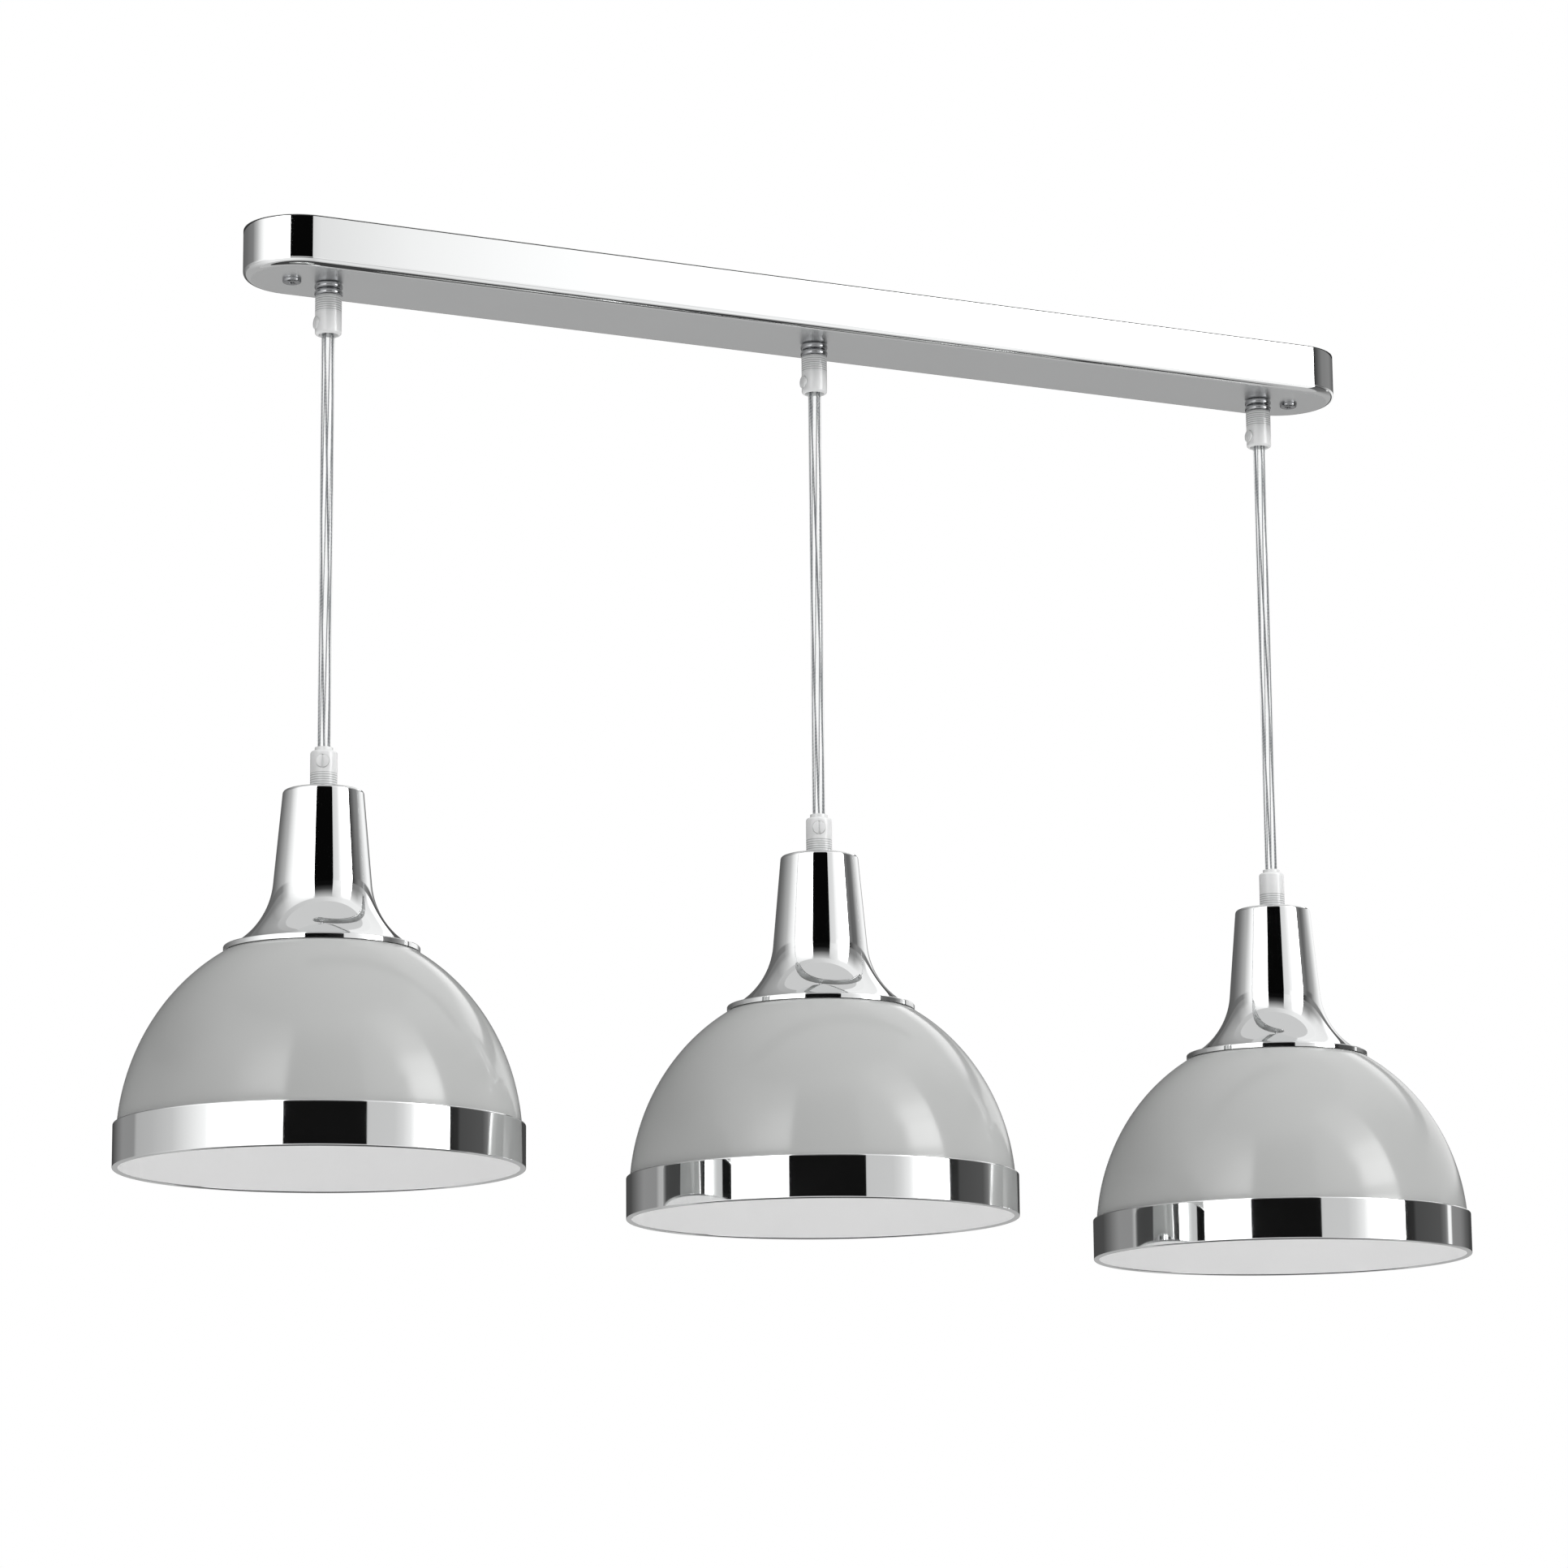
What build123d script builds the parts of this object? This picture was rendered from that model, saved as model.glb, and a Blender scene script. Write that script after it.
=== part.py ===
from build123d import *
from math import asin, atan2, cos, degrees, radians, sin, sqrt
import os

# Three-lamp bar pendant: a chrome ceiling bar, three clear cords and three grey dome shades.
# Millimetres. The origin is on the ceiling at the middle of the bar, Z is up and X runs along the bar.

# Bar tray
pendant_spacing = 284.0
exit_to_bar_end = 46.0
bar_width = 60.0
bar_height = 27.0
bar_wall = 1.0
bar_edge_radius = 4.0

# Ceiling bracket and the screws that hold the tray to it
bracket_width = 24.0
bracket_thickness = 2.0
bracket_end_margin = 9.0
slot_spacing = 300.0
slot_length = 25.0
slot_width = 5.5
cable_hole_diameter = 16.0
cable_hole_place = -70.0
screw_outboard = 20.5
screw_diameter = 4.0
screw_hole_clearance = 0.25
screw_head_diameter = 10.0
screw_head_height = 2.2
screw_end_gap = 0.5
screw_recess_width = 1.0
screw_dome_share = 0.6
bracket_nut_across = 7.0
bracket_nut_height = 3.2

# Terminal block and earth screw
block_place = 70.0
block_length = 30.0
block_width = 20.0
block_height = 14.0
block_pole_pitch = 9.0
block_wall = 3.0
block_peg_diameter = 3.0
block_peg_inset = 4.0
terminal_screw_diameter = 3.9
terminal_head_diameter = 5.2
terminal_head_height = 1.2
terminal_screw_gap = 0.3
earth_place = 112.0
earth_head_diameter = 7.6
earth_head_height = 2.2

# Threaded nipples and nuts at the cord exits
nipple_wall = 1.25
nipple_cord_gap = 0.25
thread_clearance = 0.05
nipple_stand = 3.0
ring_width = 2.5
ring_height = 3.7
ring_count = 2
ring_edge_radius = 0.8
lock_nut_wall = 2.0
lock_nut_height = 3.5

# Clear cord grips
grip_wall = 2.0
grip_height = 21.0
grip_edge_radius = 1.5
grip_thread_depth = 9.5
grip_mouth_flare = 1.4
grip_mouth_depth = 3.0
collar_wall = 0.95
collar_height = 2.0
clamp_above_thread = 5.3
clamp_diameter = 4.9
clamp_head_diameter = 6.8
clamp_seat_depth = 1.1
clamp_head_height = 1.5
clamp_slot_width = 0.9
upper_clamp_facing = 180.0
left_clamp_facing = -115.0
centre_clamp_facing = -115.0
right_clamp_facing = 65.0

# Cords
cord_diameter = 6.9
cord_clearance = 0.35
stretch_gap = 0.3
bend_inset = 2.0
link_length = 45.0
left_cord_length = 224.0
centre_cord_length = 238.5
right_cord_length = 249.5
core_diameter = 2.2
core_gap = 0.2
core_layer_gap = 0.3
core_lane_gap = 0.8
core_lane_start = 18.0
core_bend_share = 0.45

# Chrome neck
neck_wall = 1.0
neck_holder_gap = 1.5
neck_top_edge_radius = 3.0
neck_taper_depth = 49.0
neck_taper_spread = 4.5
neck_flare_depth = 82.0
neck_flare_angle = 61.3
neck_foot_ledge = 3.45
neck_foot_height = 2.7
neck_foot_edge_radius = 0.5

# Dome shade
dome_radius = 103.3
dome_rise = 112.2
dome_wall = 1.0
dome_flat_radius = 28.0
dome_hole_clearance = 0.45
dome_seat_gap = 0.1
dome_centre_above_rim = 13.6

# Rim band
band_wall = 1.96
band_height = 23.0
band_lip_width = 5.0
band_lip_thickness = 1.0
band_clearance = 0.1
band_top_edge_radius = 0.8
band_bottom_edge_radius = 1.5
band_lip_edge_radius = 0.4

# Lampholder for a 27 mm screw cap
holder_wall = 2.0
holder_clearance = 0.1
holder_cap_height = 24.0
holder_hub_depth = 8.0
holder_cap_edge_radius = 3.0
holder_spigot = 5.0
holder_spigot_wall = 1.4
holder_shoulder_margin = 3.0
holder_shoulder_height = 3.0
holder_thread_step = 1.35
holder_below_shoulder = 14.0
insert_rim = 1.1
insert_height = 10.0
insert_drop = 19.2
shell_bore = 26.4
shell_wall = 0.5
shell_length = 31.6
contact_radius = 3.2
contact_height = 1.6
contact_pocket_radius = 6.0
contact_pocket_depth = 2.0
shade_ring_margin = 1.0
shade_ring_height = 4.0
shade_ring_notches = 12
shade_ring_notch_width = 3.0
shade_ring_notch_depth = 1.4

# Levels on the ceiling side, from the ceiling down
bar_length = 2 * (pendant_spacing + exit_to_bar_end)
bar_under = -bar_height
bar_floor = bar_under + bar_wall
bracket_under = -bracket_thickness
nipple_top = bar_floor + lock_nut_height + nipple_stand
upper_grip_top = bar_under - ring_count * ring_height
upper_grip_mouth = upper_grip_top - grip_height
nipple_reach = grip_thread_depth - stretch_gap
sway_pivot = upper_grip_mouth + bend_inset
swing_pivot = sway_pivot - link_length

# Radii shared by neighbouring pieces
cord_radius = cord_diameter / 2
core_radius = core_diameter / 2
nipple_bore_radius = cord_radius + nipple_cord_gap
nipple_radius = nipple_bore_radius + nipple_wall
thread_radius = nipple_radius + thread_clearance
ring_radius = thread_radius + ring_width
grip_radius = thread_radius + grip_wall
grip_bore_radius = cord_radius + cord_clearance
clamp_height = grip_thread_depth + clamp_above_thread
cup_radius = cord_radius + stretch_gap
shell_radius = shell_bore / 2
insert_radius = shell_radius + shell_wall + insert_rim
spigot_radius = insert_radius + holder_clearance + holder_spigot_wall
holder_radius = spigot_radius + holder_clearance + holder_wall
holder_thread_radius = holder_radius + holder_thread_step
holder_shoulder_radius = dome_flat_radius - holder_shoulder_margin
shade_ring_radius = dome_flat_radius - shade_ring_margin
screw_place = pendant_spacing + screw_outboard
screw_radius = screw_diameter / 2
screw_hole_radius = screw_radius + screw_hole_clearance


def ellipse_width(x_radius, y_radius, height):
    """Half width of an upright ellipse at a height from its centre."""
    return x_radius * sqrt(1 - (height / y_radius) ** 2)


# Neck radii: the taper clears the lampholder, and the flare leaves it at its own slope
neck_top_radius = holder_radius + neck_holder_gap + neck_wall
neck_taper_radius = neck_top_radius + neck_taper_spread
taper_angle = atan2(neck_taper_spread, neck_taper_depth)
flare_angle = radians(neck_flare_angle)
neck_flare_radius = (neck_flare_depth - neck_taper_depth) / (sin(flare_angle) - sin(taper_angle))
neck_flare_foot = neck_taper_radius + neck_flare_radius * (cos(taper_angle) - cos(flare_angle))
neck_foot_radius = neck_flare_foot + neck_foot_ledge
foot_inner_radius = neck_foot_radius - neck_wall
neck_height = neck_flare_depth + neck_foot_height

# Levels on a pendant, from the neck's top down
dome_centre = -(neck_height + dome_seat_gap + ellipse_width(dome_rise, dome_radius, foot_inner_radius))
dome_top = dome_centre + ellipse_width(dome_rise, dome_radius, dome_flat_radius)
rim_bottom = dome_centre - dome_centre_above_rim
band_top = rim_bottom + band_height
lip_top = rim_bottom + band_lip_thickness
skirt_radius = ellipse_width(dome_radius, dome_rise, band_top - dome_centre)
skirt_bore = ellipse_width(dome_radius - dome_wall, dome_rise - dome_wall, band_top - dome_centre)
band_bore_radius = skirt_radius + band_clearance
band_radius = band_bore_radius + band_wall
cap_top = -neck_wall
cap_bottom = cap_top - holder_cap_height
hub_bottom = cap_top - holder_hub_depth
shoulder_top = dome_top + holder_shoulder_height
holder_bottom = dome_top - holder_below_shoulder
insert_top = cap_bottom - insert_drop
insert_bottom = insert_top - insert_height
shell_bottom = insert_bottom - shell_length

sides = {
    "left": (-pendant_spacing, left_cord_length, left_clamp_facing),
    "centre": (0.0, centre_cord_length, centre_clamp_facing),
    "right": (pendant_spacing, right_cord_length, right_clamp_facing),
}


def turned(points, radii=None):
    """Solid of revolution about Z from (radius, height) points, with a rounding for each point."""
    if radii is None:
        outline = Polyline(*points, close=True)
    else:
        outline = FilletPolyline(*points, radius=radii, close=True)
    return revolve(Plane.XZ * make_face(outline), Axis.Z)


def tube(outer, inner, top, bottom):
    """Plain tube about Z between two heights."""
    return turned([(inner, bottom), (outer, bottom), (outer, top), (inner, top)])


def rod(radius, top, bottom):
    """Plain cylinder about Z between two heights."""
    return Pos(0, 0, (top + bottom) / 2) * Cylinder(radius, top - bottom)


def hexagon_nut(across, height, hole_radius):
    """Hexagon nut standing on z = 0."""
    return extrude(RegularPolygon(across / 2, 6, major_radius=False) - Circle(hole_radius), height)


# Pieces of the ceiling bar


def make_bar_tray():
    outer = extrude(SlotOverall(bar_length, bar_width), -bar_height)
    outer = fillet(outer.edges().group_by(Axis.Z)[0], bar_edge_radius)
    inner = extrude(SlotOverall(bar_length - 2 * bar_wall, bar_width - 2 * bar_wall), bar_floor)
    inner = fillet(inner.edges().group_by(Axis.Z)[0], bar_edge_radius - bar_wall)
    tray = outer - inner
    for x, _, _ in sides.values():
        tray -= Pos(x, 0, 0) * rod(thread_radius, 0, 2 * bar_under)
    for x in (-screw_place, screw_place):
        tray -= Pos(x, 0, 0) * rod(screw_hole_radius, 0, 2 * bar_under)
    return tray


def make_ceiling_bracket():
    strip = Rectangle(2 * (screw_place + bracket_end_margin), bracket_width)
    for x in (-slot_spacing / 2, slot_spacing / 2):
        strip -= Pos(x, 0) * SlotOverall(slot_length, slot_width)
    for x in (-screw_place, screw_place, earth_place):
        strip -= Pos(x, 0) * Circle(screw_hole_radius)
    for x in block_pegs():
        strip -= Pos(x, 0) * Circle(block_peg_diameter / 2 + thread_clearance)
    strip -= Pos(cable_hole_place, 0) * Circle(cable_hole_diameter / 2)
    return extrude(strip, bracket_under)


def pan_screw(head_diameter, head_height, shank_top):
    """Screw with its head below z = 0 and its shank above, with a cross recess."""
    head_radius = head_diameter / 2
    dome = head_height * screw_dome_share
    screw = turned(
        [(0, -head_height), (head_radius, -head_height), (head_radius, 0), (screw_radius, 0),
         (screw_radius, shank_top), (0, shank_top)],
        [0, dome, 0, 0, 0, 0],
    )
    recess_depth = head_height / 2
    for angle in (0, 90):
        arm = Box(head_radius, screw_recess_width, recess_depth)
        screw -= Pos(0, 0, recess_depth / 2 - head_height) * Rot(0, 0, angle) * arm
    return screw


def make_canopy_screws():
    screw = pan_screw(screw_head_diameter, screw_head_height, bar_height - screw_end_gap)
    return [Pos(x, 0, bar_under) * screw for x in (-screw_place, screw_place)]


def make_bracket_nuts():
    nut = hexagon_nut(bracket_nut_across, bracket_nut_height, screw_radius + thread_clearance)
    level = bracket_under - bracket_nut_height
    return [Pos(x, 0, level) * nut for x in (-screw_place, screw_place)]


def block_pegs():
    """Places of the terminal block's two pegs along the bar."""
    reach = block_length / 2 - block_peg_inset
    return (block_place - reach, block_place + reach)


def block_poles():
    """Places of the terminal block's three poles along the bar."""
    return [block_place + step * block_pole_pitch for step in (-1, 0, 1)]


def terminal_places():
    """Places of the terminal screws, two on each pole."""
    return [(x, y) for x in block_poles() for y in (-block_width / 4, block_width / 4)]


def make_terminal_block():
    block_under = bracket_under - block_height
    middle = Pos(0, 0, bracket_under - block_height / 2)
    block = middle * Pos(block_place, 0, 0) * Box(block_length, block_width, block_height)
    for x in block_pegs():
        block += Pos(x, 0, 0) * rod(block_peg_diameter / 2, -thread_clearance, bracket_under)
    entry_width = core_diameter + 2 * core_gap
    entry_height = block_height - 2 * block_wall
    for x in block_poles():
        block -= middle * Pos(x, 0, 0) * Box(entry_width, 2 * block_width, entry_height)
    screw_hole = rod(terminal_screw_diameter / 2 + thread_clearance, block_under + block_wall, block_under)
    for x, y in terminal_places():
        block -= Pos(x, y, 0) * screw_hole
    return block


def make_terminal_screws():
    head_top = bracket_under - block_height
    shank = rod(terminal_screw_diameter / 2, head_top + block_wall - terminal_screw_gap, head_top)
    head = rod(terminal_head_diameter / 2, head_top, head_top - terminal_head_height)
    slot_depth = terminal_head_height / 2
    slot = Pos(0, 0, head_top - terminal_head_height + slot_depth / 2)
    screw = shank + head - slot * Box(terminal_head_diameter, screw_recess_width, slot_depth)
    return [Pos(x, y, 0) * screw for x, y in terminal_places()]


def make_earth_screw():
    screw = pan_screw(earth_head_diameter, earth_head_height, bracket_thickness - thread_clearance)
    return Pos(earth_place, 0, bracket_under) * screw


def make_exit_nipples():
    nipple = tube(nipple_radius, nipple_bore_radius, nipple_top, upper_grip_top - nipple_reach)
    return [Pos(x, 0, 0) * nipple for x, _, _ in sides.values()]


def make_exit_ring_nuts():
    ring = turned(
        [(thread_radius, -ring_height), (ring_radius, -ring_height), (ring_radius, 0), (thread_radius, 0)],
        [0, ring_edge_radius, ring_edge_radius, 0],
    )
    levels = [bar_under - step * ring_height for step in range(ring_count)]
    return [Pos(x, 0, level) * ring for x, _, _ in sides.values() for level in levels]


def make_exit_lock_nuts():
    nut = hexagon_nut(2 * (thread_radius + lock_nut_wall), lock_nut_height, thread_radius)
    return [Pos(x, 0, bar_floor) * nut for x, _, _ in sides.values()]


# Clear cord grips, standing on their threaded end with the clamp screw towards +X


def clamp_cylinder(radius, near, far):
    """Cylinder along X at the clamp screw's height, between two distances from the grip's axis."""
    return Pos((near + far) / 2, 0, clamp_height) * Rot(0, 90, 0) * Cylinder(radius, far - near)


def clamp_seat():
    """Distance of the clamp screw's seat from the grip's axis."""
    return grip_radius - clamp_seat_depth


def with_clamp_hole(grip):
    outside = 2 * grip_radius
    grip -= clamp_cylinder(clamp_diameter / 2 + thread_clearance, 0, outside)
    grip -= clamp_cylinder(clamp_head_diameter / 2 + 2 * thread_clearance, clamp_seat(), outside)
    return grip


def upper_grip():
    mouth_start = grip_height - grip_mouth_depth
    mouth_radius = grip_bore_radius + grip_mouth_flare
    grip = turned(
        [(thread_radius, 0), (grip_radius, 0), (grip_radius, grip_height), (mouth_radius, grip_height),
         (grip_bore_radius, mouth_start), (grip_bore_radius, grip_thread_depth),
         (thread_radius, grip_thread_depth)],
        [0, 0, grip_edge_radius, 0, 0, 0, 0],
    )
    return with_clamp_hole(grip)


def lower_grip():
    collar_top = grip_height + collar_height
    collar_radius = grip_bore_radius + collar_wall
    grip = turned(
        [(thread_radius, 0), (grip_radius, 0), (grip_radius, grip_height), (collar_radius, grip_height),
         (collar_radius, collar_top), (grip_bore_radius, collar_top), (grip_bore_radius, grip_thread_depth),
         (thread_radius, grip_thread_depth)],
        [0, 0, grip_edge_radius, 0, 0, 0, 0, 0],
    )
    return with_clamp_hole(grip)


def clamp_screw():
    tip = cord_radius + stretch_gap
    outside = clamp_seat() + clamp_head_height
    screw = clamp_cylinder(clamp_diameter / 2, tip, clamp_seat())
    screw += clamp_cylinder(clamp_head_diameter / 2, clamp_seat(), outside)
    slot_depth = clamp_head_height / 2
    slot = Box(slot_depth, clamp_slot_width, clamp_head_diameter)
    return screw - Pos(outside - slot_depth / 2, 0, clamp_height) * slot


def hang_upper(x):
    """Placing of an upper grip, turned over so that its cord leaves downwards."""
    return Pos(x, 0, upper_grip_top) * Rot(180, 0, 0) * Rot(0, 0, upper_clamp_facing)


def make_upper_grip_screws():
    return [hang_upper(x) * clamp_screw() for x, _, _ in sides.values()]


# Cord stretches


def cord_stretch(top, bottom, ball_top, cup_bottom):
    """Cord about Z: its top can be a ball about a bend, its bottom a cup round the next stretch's ball."""
    side_bottom = bottom
    axis_bottom = bottom
    edges = []
    if cup_bottom:
        side_bottom = bottom + sqrt(cup_radius**2 - cord_radius**2)
        axis_bottom = bottom + cup_radius
        cup_start = degrees(asin((side_bottom - bottom) / cup_radius))
        edges.append(CenterArc((0, bottom), cup_radius, cup_start, 90 - cup_start))
    else:
        edges.append(Line((cord_radius, bottom), (0, bottom)))
    axis_top = top
    if ball_top:
        axis_top = top + cord_radius
        edges.append(CenterArc((0, top), cord_radius, 0, 90))
    else:
        edges.append(Line((cord_radius, top), (0, top)))
    edges.append(Line((cord_radius, side_bottom), (cord_radius, top)))
    edges.append(Line((0, axis_bottom), (0, axis_top)))
    return revolve(Plane.XZ * make_face(edges), Axis.Z)


def core_route(x, layer, lane):
    """Points of one core from a nipple: up, across to its lane, along the bar and into its pole."""
    towards = 1 if x < block_place else -1
    start = x + towards * (1 - lane) * (core_diameter + core_gap)
    entry_middle = bracket_under - block_height / 2
    level = entry_middle + (1 - layer) * (core_diameter + core_layer_gap)
    lane_y = -(core_lane_start + lane * (core_diameter + core_lane_gap))
    pole = block_poles()[lane if towards > 0 else 2 - lane]
    return [
        (start, 0, nipple_top),
        (start, 0, level),
        (start, lane_y, level),
        (pole, lane_y, level),
        (pole, -block_width / 4, level),
    ]


def core_tube(points):
    """Core along a route, with every bend as wide as its shorter run allows."""
    corners = [Vector(*point) for point in points]
    runs = [(after - before).length for before, after in zip(corners, corners[1:])]
    radii = [core_bend_share * min(pair) for pair in zip(runs, runs[1:])]
    path = FilletPolyline(*points, radius=radii)
    section = Plane(origin=path @ 0, z_dir=path % 0) * Circle(core_radius)
    return sweep(section, path=path)


def make_canopy_wiring():
    wiring = []
    for layer, (x, _, _) in enumerate(sides.values()):
        wiring.append(Pos(x, 0, 0) * cord_stretch(nipple_top, sway_pivot, False, True))
        for lane in range(3):
            wiring.append(core_tube(core_route(x, layer, lane)))
    return wiring


# Pieces of a pendant, with the neck's top at z = 0


def make_nipple():
    return tube(nipple_radius, nipple_bore_radius, nipple_reach, hub_bottom)


def widest_ring(solid, level):
    """The widest round edge of a turned solid at a height."""
    return solid.edges().filter_by_position(Axis.Z, level, level).sort_by(SortBy.RADIUS)[-1]


def make_neck():
    flare_x = neck_taper_radius + neck_flare_radius * cos(taper_angle)
    flare_z = -neck_taper_depth + neck_flare_radius * sin(taper_angle)
    inner_flare_radius = neck_flare_radius + neck_wall
    foot_under = neck_flare_depth + neck_wall
    inner_end = asin((foot_under + flare_z) / inner_flare_radius)
    inner_foot = flare_x - inner_flare_radius * cos(inner_end)
    inner_taper = (flare_x - inner_flare_radius * cos(taper_angle),
                   flare_z - inner_flare_radius * sin(taper_angle))
    inner_top = neck_top_radius + neck_wall * (sin(taper_angle) - 1) / cos(taper_angle)
    start = degrees(taper_angle)
    outline = [
        Polyline((thread_radius, -neck_wall), (thread_radius, 0), (neck_top_radius, 0),
                 (neck_taper_radius, -neck_taper_depth)),
        CenterArc((flare_x, flare_z), neck_flare_radius, 180 + start, neck_flare_angle - start),
        Polyline((neck_flare_foot, -neck_flare_depth), (neck_foot_radius, -neck_flare_depth),
                 (neck_foot_radius, -neck_height), (foot_inner_radius, -neck_height),
                 (foot_inner_radius, -foot_under), (inner_foot, -foot_under)),
        CenterArc((flare_x, flare_z), inner_flare_radius, 180 + start, degrees(inner_end) - start),
        Polyline(inner_taper, (inner_top, -neck_wall), (thread_radius, -neck_wall)),
    ]
    neck = revolve(Plane.XZ * make_face(outline), Axis.Z)
    neck = fillet(widest_ring(neck, 0), neck_top_edge_radius)
    neck = fillet(widest_ring(neck, -neck_wall), neck_top_edge_radius - neck_wall)
    return fillet(widest_ring(neck, -neck_flare_depth), neck_foot_edge_radius)


def make_holder_cap():
    bore = holder_radius - holder_wall
    return turned(
        [(thread_radius, hub_bottom), (thread_radius, cap_top), (holder_radius, cap_top),
         (holder_radius, cap_bottom), (bore, cap_bottom), (bore, hub_bottom)],
        [0, 0, holder_cap_edge_radius, 0, 0, 0],
    )


def make_holder_body():
    spigot_top = cap_bottom + holder_spigot
    seat_radius = insert_radius + holder_clearance
    shell_seat = shell_radius + shell_wall + holder_clearance
    return turned(
        [(seat_radius, spigot_top), (spigot_radius, spigot_top), (spigot_radius, cap_bottom),
         (holder_radius, cap_bottom), (holder_radius, shoulder_top), (holder_shoulder_radius, shoulder_top),
         (holder_shoulder_radius, dome_top), (holder_thread_radius, dome_top),
         (holder_thread_radius, holder_bottom), (shell_seat, holder_bottom), (shell_seat, insert_bottom),
         (seat_radius, insert_bottom)]
    )


def make_holder_insert():
    pocket = rod(contact_pocket_radius, insert_bottom + contact_pocket_depth, insert_bottom)
    return rod(insert_radius, insert_top, insert_bottom) - pocket


def make_screw_shell():
    return tube(shell_radius + shell_wall, shell_radius, insert_bottom, shell_bottom)


def make_tip_contact():
    seat = insert_bottom + contact_pocket_depth
    low = seat - contact_height
    return turned(
        [(0, low), (contact_radius, low), (contact_radius, seat), (0, seat)],
        [0, contact_height / 2, 0, 0],
    )


def make_holder_leads():
    lead = rod(core_radius, nipple_reach, insert_top)
    circle_radius = (core_diameter + core_gap) / sqrt(3)
    return [place * lead for place in PolarLocations(circle_radius, 3)]


def make_shade_ring():
    top = dome_top - dome_wall
    ring = tube(shade_ring_radius, holder_thread_radius + thread_clearance, top, top - shade_ring_height)
    notch = Box(2 * shade_ring_notch_depth, shade_ring_notch_width, 2 * shade_ring_height)
    for place in PolarLocations(shade_ring_radius, shade_ring_notches):
        ring -= Pos(0, 0, top) * place * notch
    return ring


def make_dome():
    hole_radius = holder_thread_radius + dome_hole_clearance
    inner_x = dome_radius - dome_wall
    inner_z = dome_rise - dome_wall
    plate_under = dome_top - dome_wall
    plate_edge = ellipse_width(inner_x, inner_z, plate_under - dome_centre)
    shell = Pos(0, dome_centre) * (Ellipse(dome_radius, dome_rise) - Ellipse(inner_x, inner_z))
    kept_height = dome_top - band_top
    shell &= Pos(dome_radius / 2, band_top + kept_height / 2) * Rectangle(dome_radius, kept_height)
    shell -= Pos(hole_radius / 2, dome_top) * Rectangle(hole_radius, 2 * dome_wall)
    plate = Rectangle(plate_edge - hole_radius, dome_wall)
    plate = Pos((hole_radius + plate_edge) / 2, dome_top - dome_wall / 2) * plate
    skirt_height = band_top - lip_top
    skirt_middle = ((skirt_bore + skirt_radius) / 2, lip_top + skirt_height / 2)
    skirt = Pos(*skirt_middle) * Rectangle(skirt_radius - skirt_bore, skirt_height)
    return revolve(Plane.XZ * (shell + plate + skirt), Axis.Z)


def make_rim_band():
    lip_radius = band_radius - band_lip_width
    return turned(
        [(band_bore_radius, lip_top), (band_bore_radius, band_top), (band_radius, band_top),
         (band_radius, rim_bottom), (lip_radius, rim_bottom), (lip_radius, lip_top)],
        [0, 0, band_top_edge_radius, band_bottom_edge_radius, band_lip_edge_radius, band_lip_edge_radius],
    )


pendant_pieces = {
    "nipple": make_nipple,
    "neck": make_neck,
    "holder_cap": make_holder_cap,
    "holder_body": make_holder_body,
    "holder_insert": make_holder_insert,
    "screw_shell": make_screw_shell,
    "tip_contact": make_tip_contact,
    "holder_leads": make_holder_leads,
    "shade_ring": make_shade_ring,
    "dome_shade": make_dome,
    "rim_band": make_rim_band,
}

bar_pieces = {
    "bar_tray": make_bar_tray,
    "ceiling_bracket": make_ceiling_bracket,
    "canopy_screws": make_canopy_screws,
    "bracket_nuts": make_bracket_nuts,
    "terminal_block": make_terminal_block,
    "terminal_screws": make_terminal_screws,
    "earth_screw": make_earth_screw,
    "exit_nipples": make_exit_nipples,
    "exit_ring_nuts": make_exit_ring_nuts,
    "exit_lock_nuts": make_exit_lock_nuts,
    "upper_grip_screws": make_upper_grip_screws,
    "canopy_wiring": make_canopy_wiring,
}


def write(node, shape):
    """Write one node's solid, or its group of solids."""
    if isinstance(shape, list):
        shape = Compound([solid for piece in shape for solid in piece.solids()])
    export_step(shape, f"parts/{node}.step")


def main():
    os.makedirs("parts", exist_ok=True)
    for node, make in bar_pieces.items():
        write(node, make())
    for side, (x, cord_length, facing) in sides.items():
        lower_grip_top = upper_grip_mouth - cord_length
        neck_top = lower_grip_top - grip_height
        hang = Pos(x, 0, neck_top)
        write(f"{side}_upper_grip", hang_upper(x) * upper_grip())
        write(f"{side}_cord_link", Pos(x, 0, 0) * cord_stretch(sway_pivot, swing_pivot, True, True))
        cord_end = neck_top + grip_thread_depth
        write(f"{side}_cord", Pos(x, 0, 0) * cord_stretch(swing_pivot, cord_end, True, False))
        write(f"{side}_lower_grip", hang * Rot(0, 0, facing) * lower_grip())
        write(f"{side}_lower_grip_screw", hang * Rot(0, 0, facing) * clamp_screw())
        for piece, make in pendant_pieces.items():
            shape = make()
            if isinstance(shape, list):
                shape = [hang * solid for solid in shape]
            else:
                shape = hang * shape
            write(f"{side}_{piece}", shape)


main()
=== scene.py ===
from math import asin, atan2, copysign, cos, pi, radians, sin, sqrt, tan

import bmesh
import bpy
from mathutils import Matrix, Vector


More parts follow.
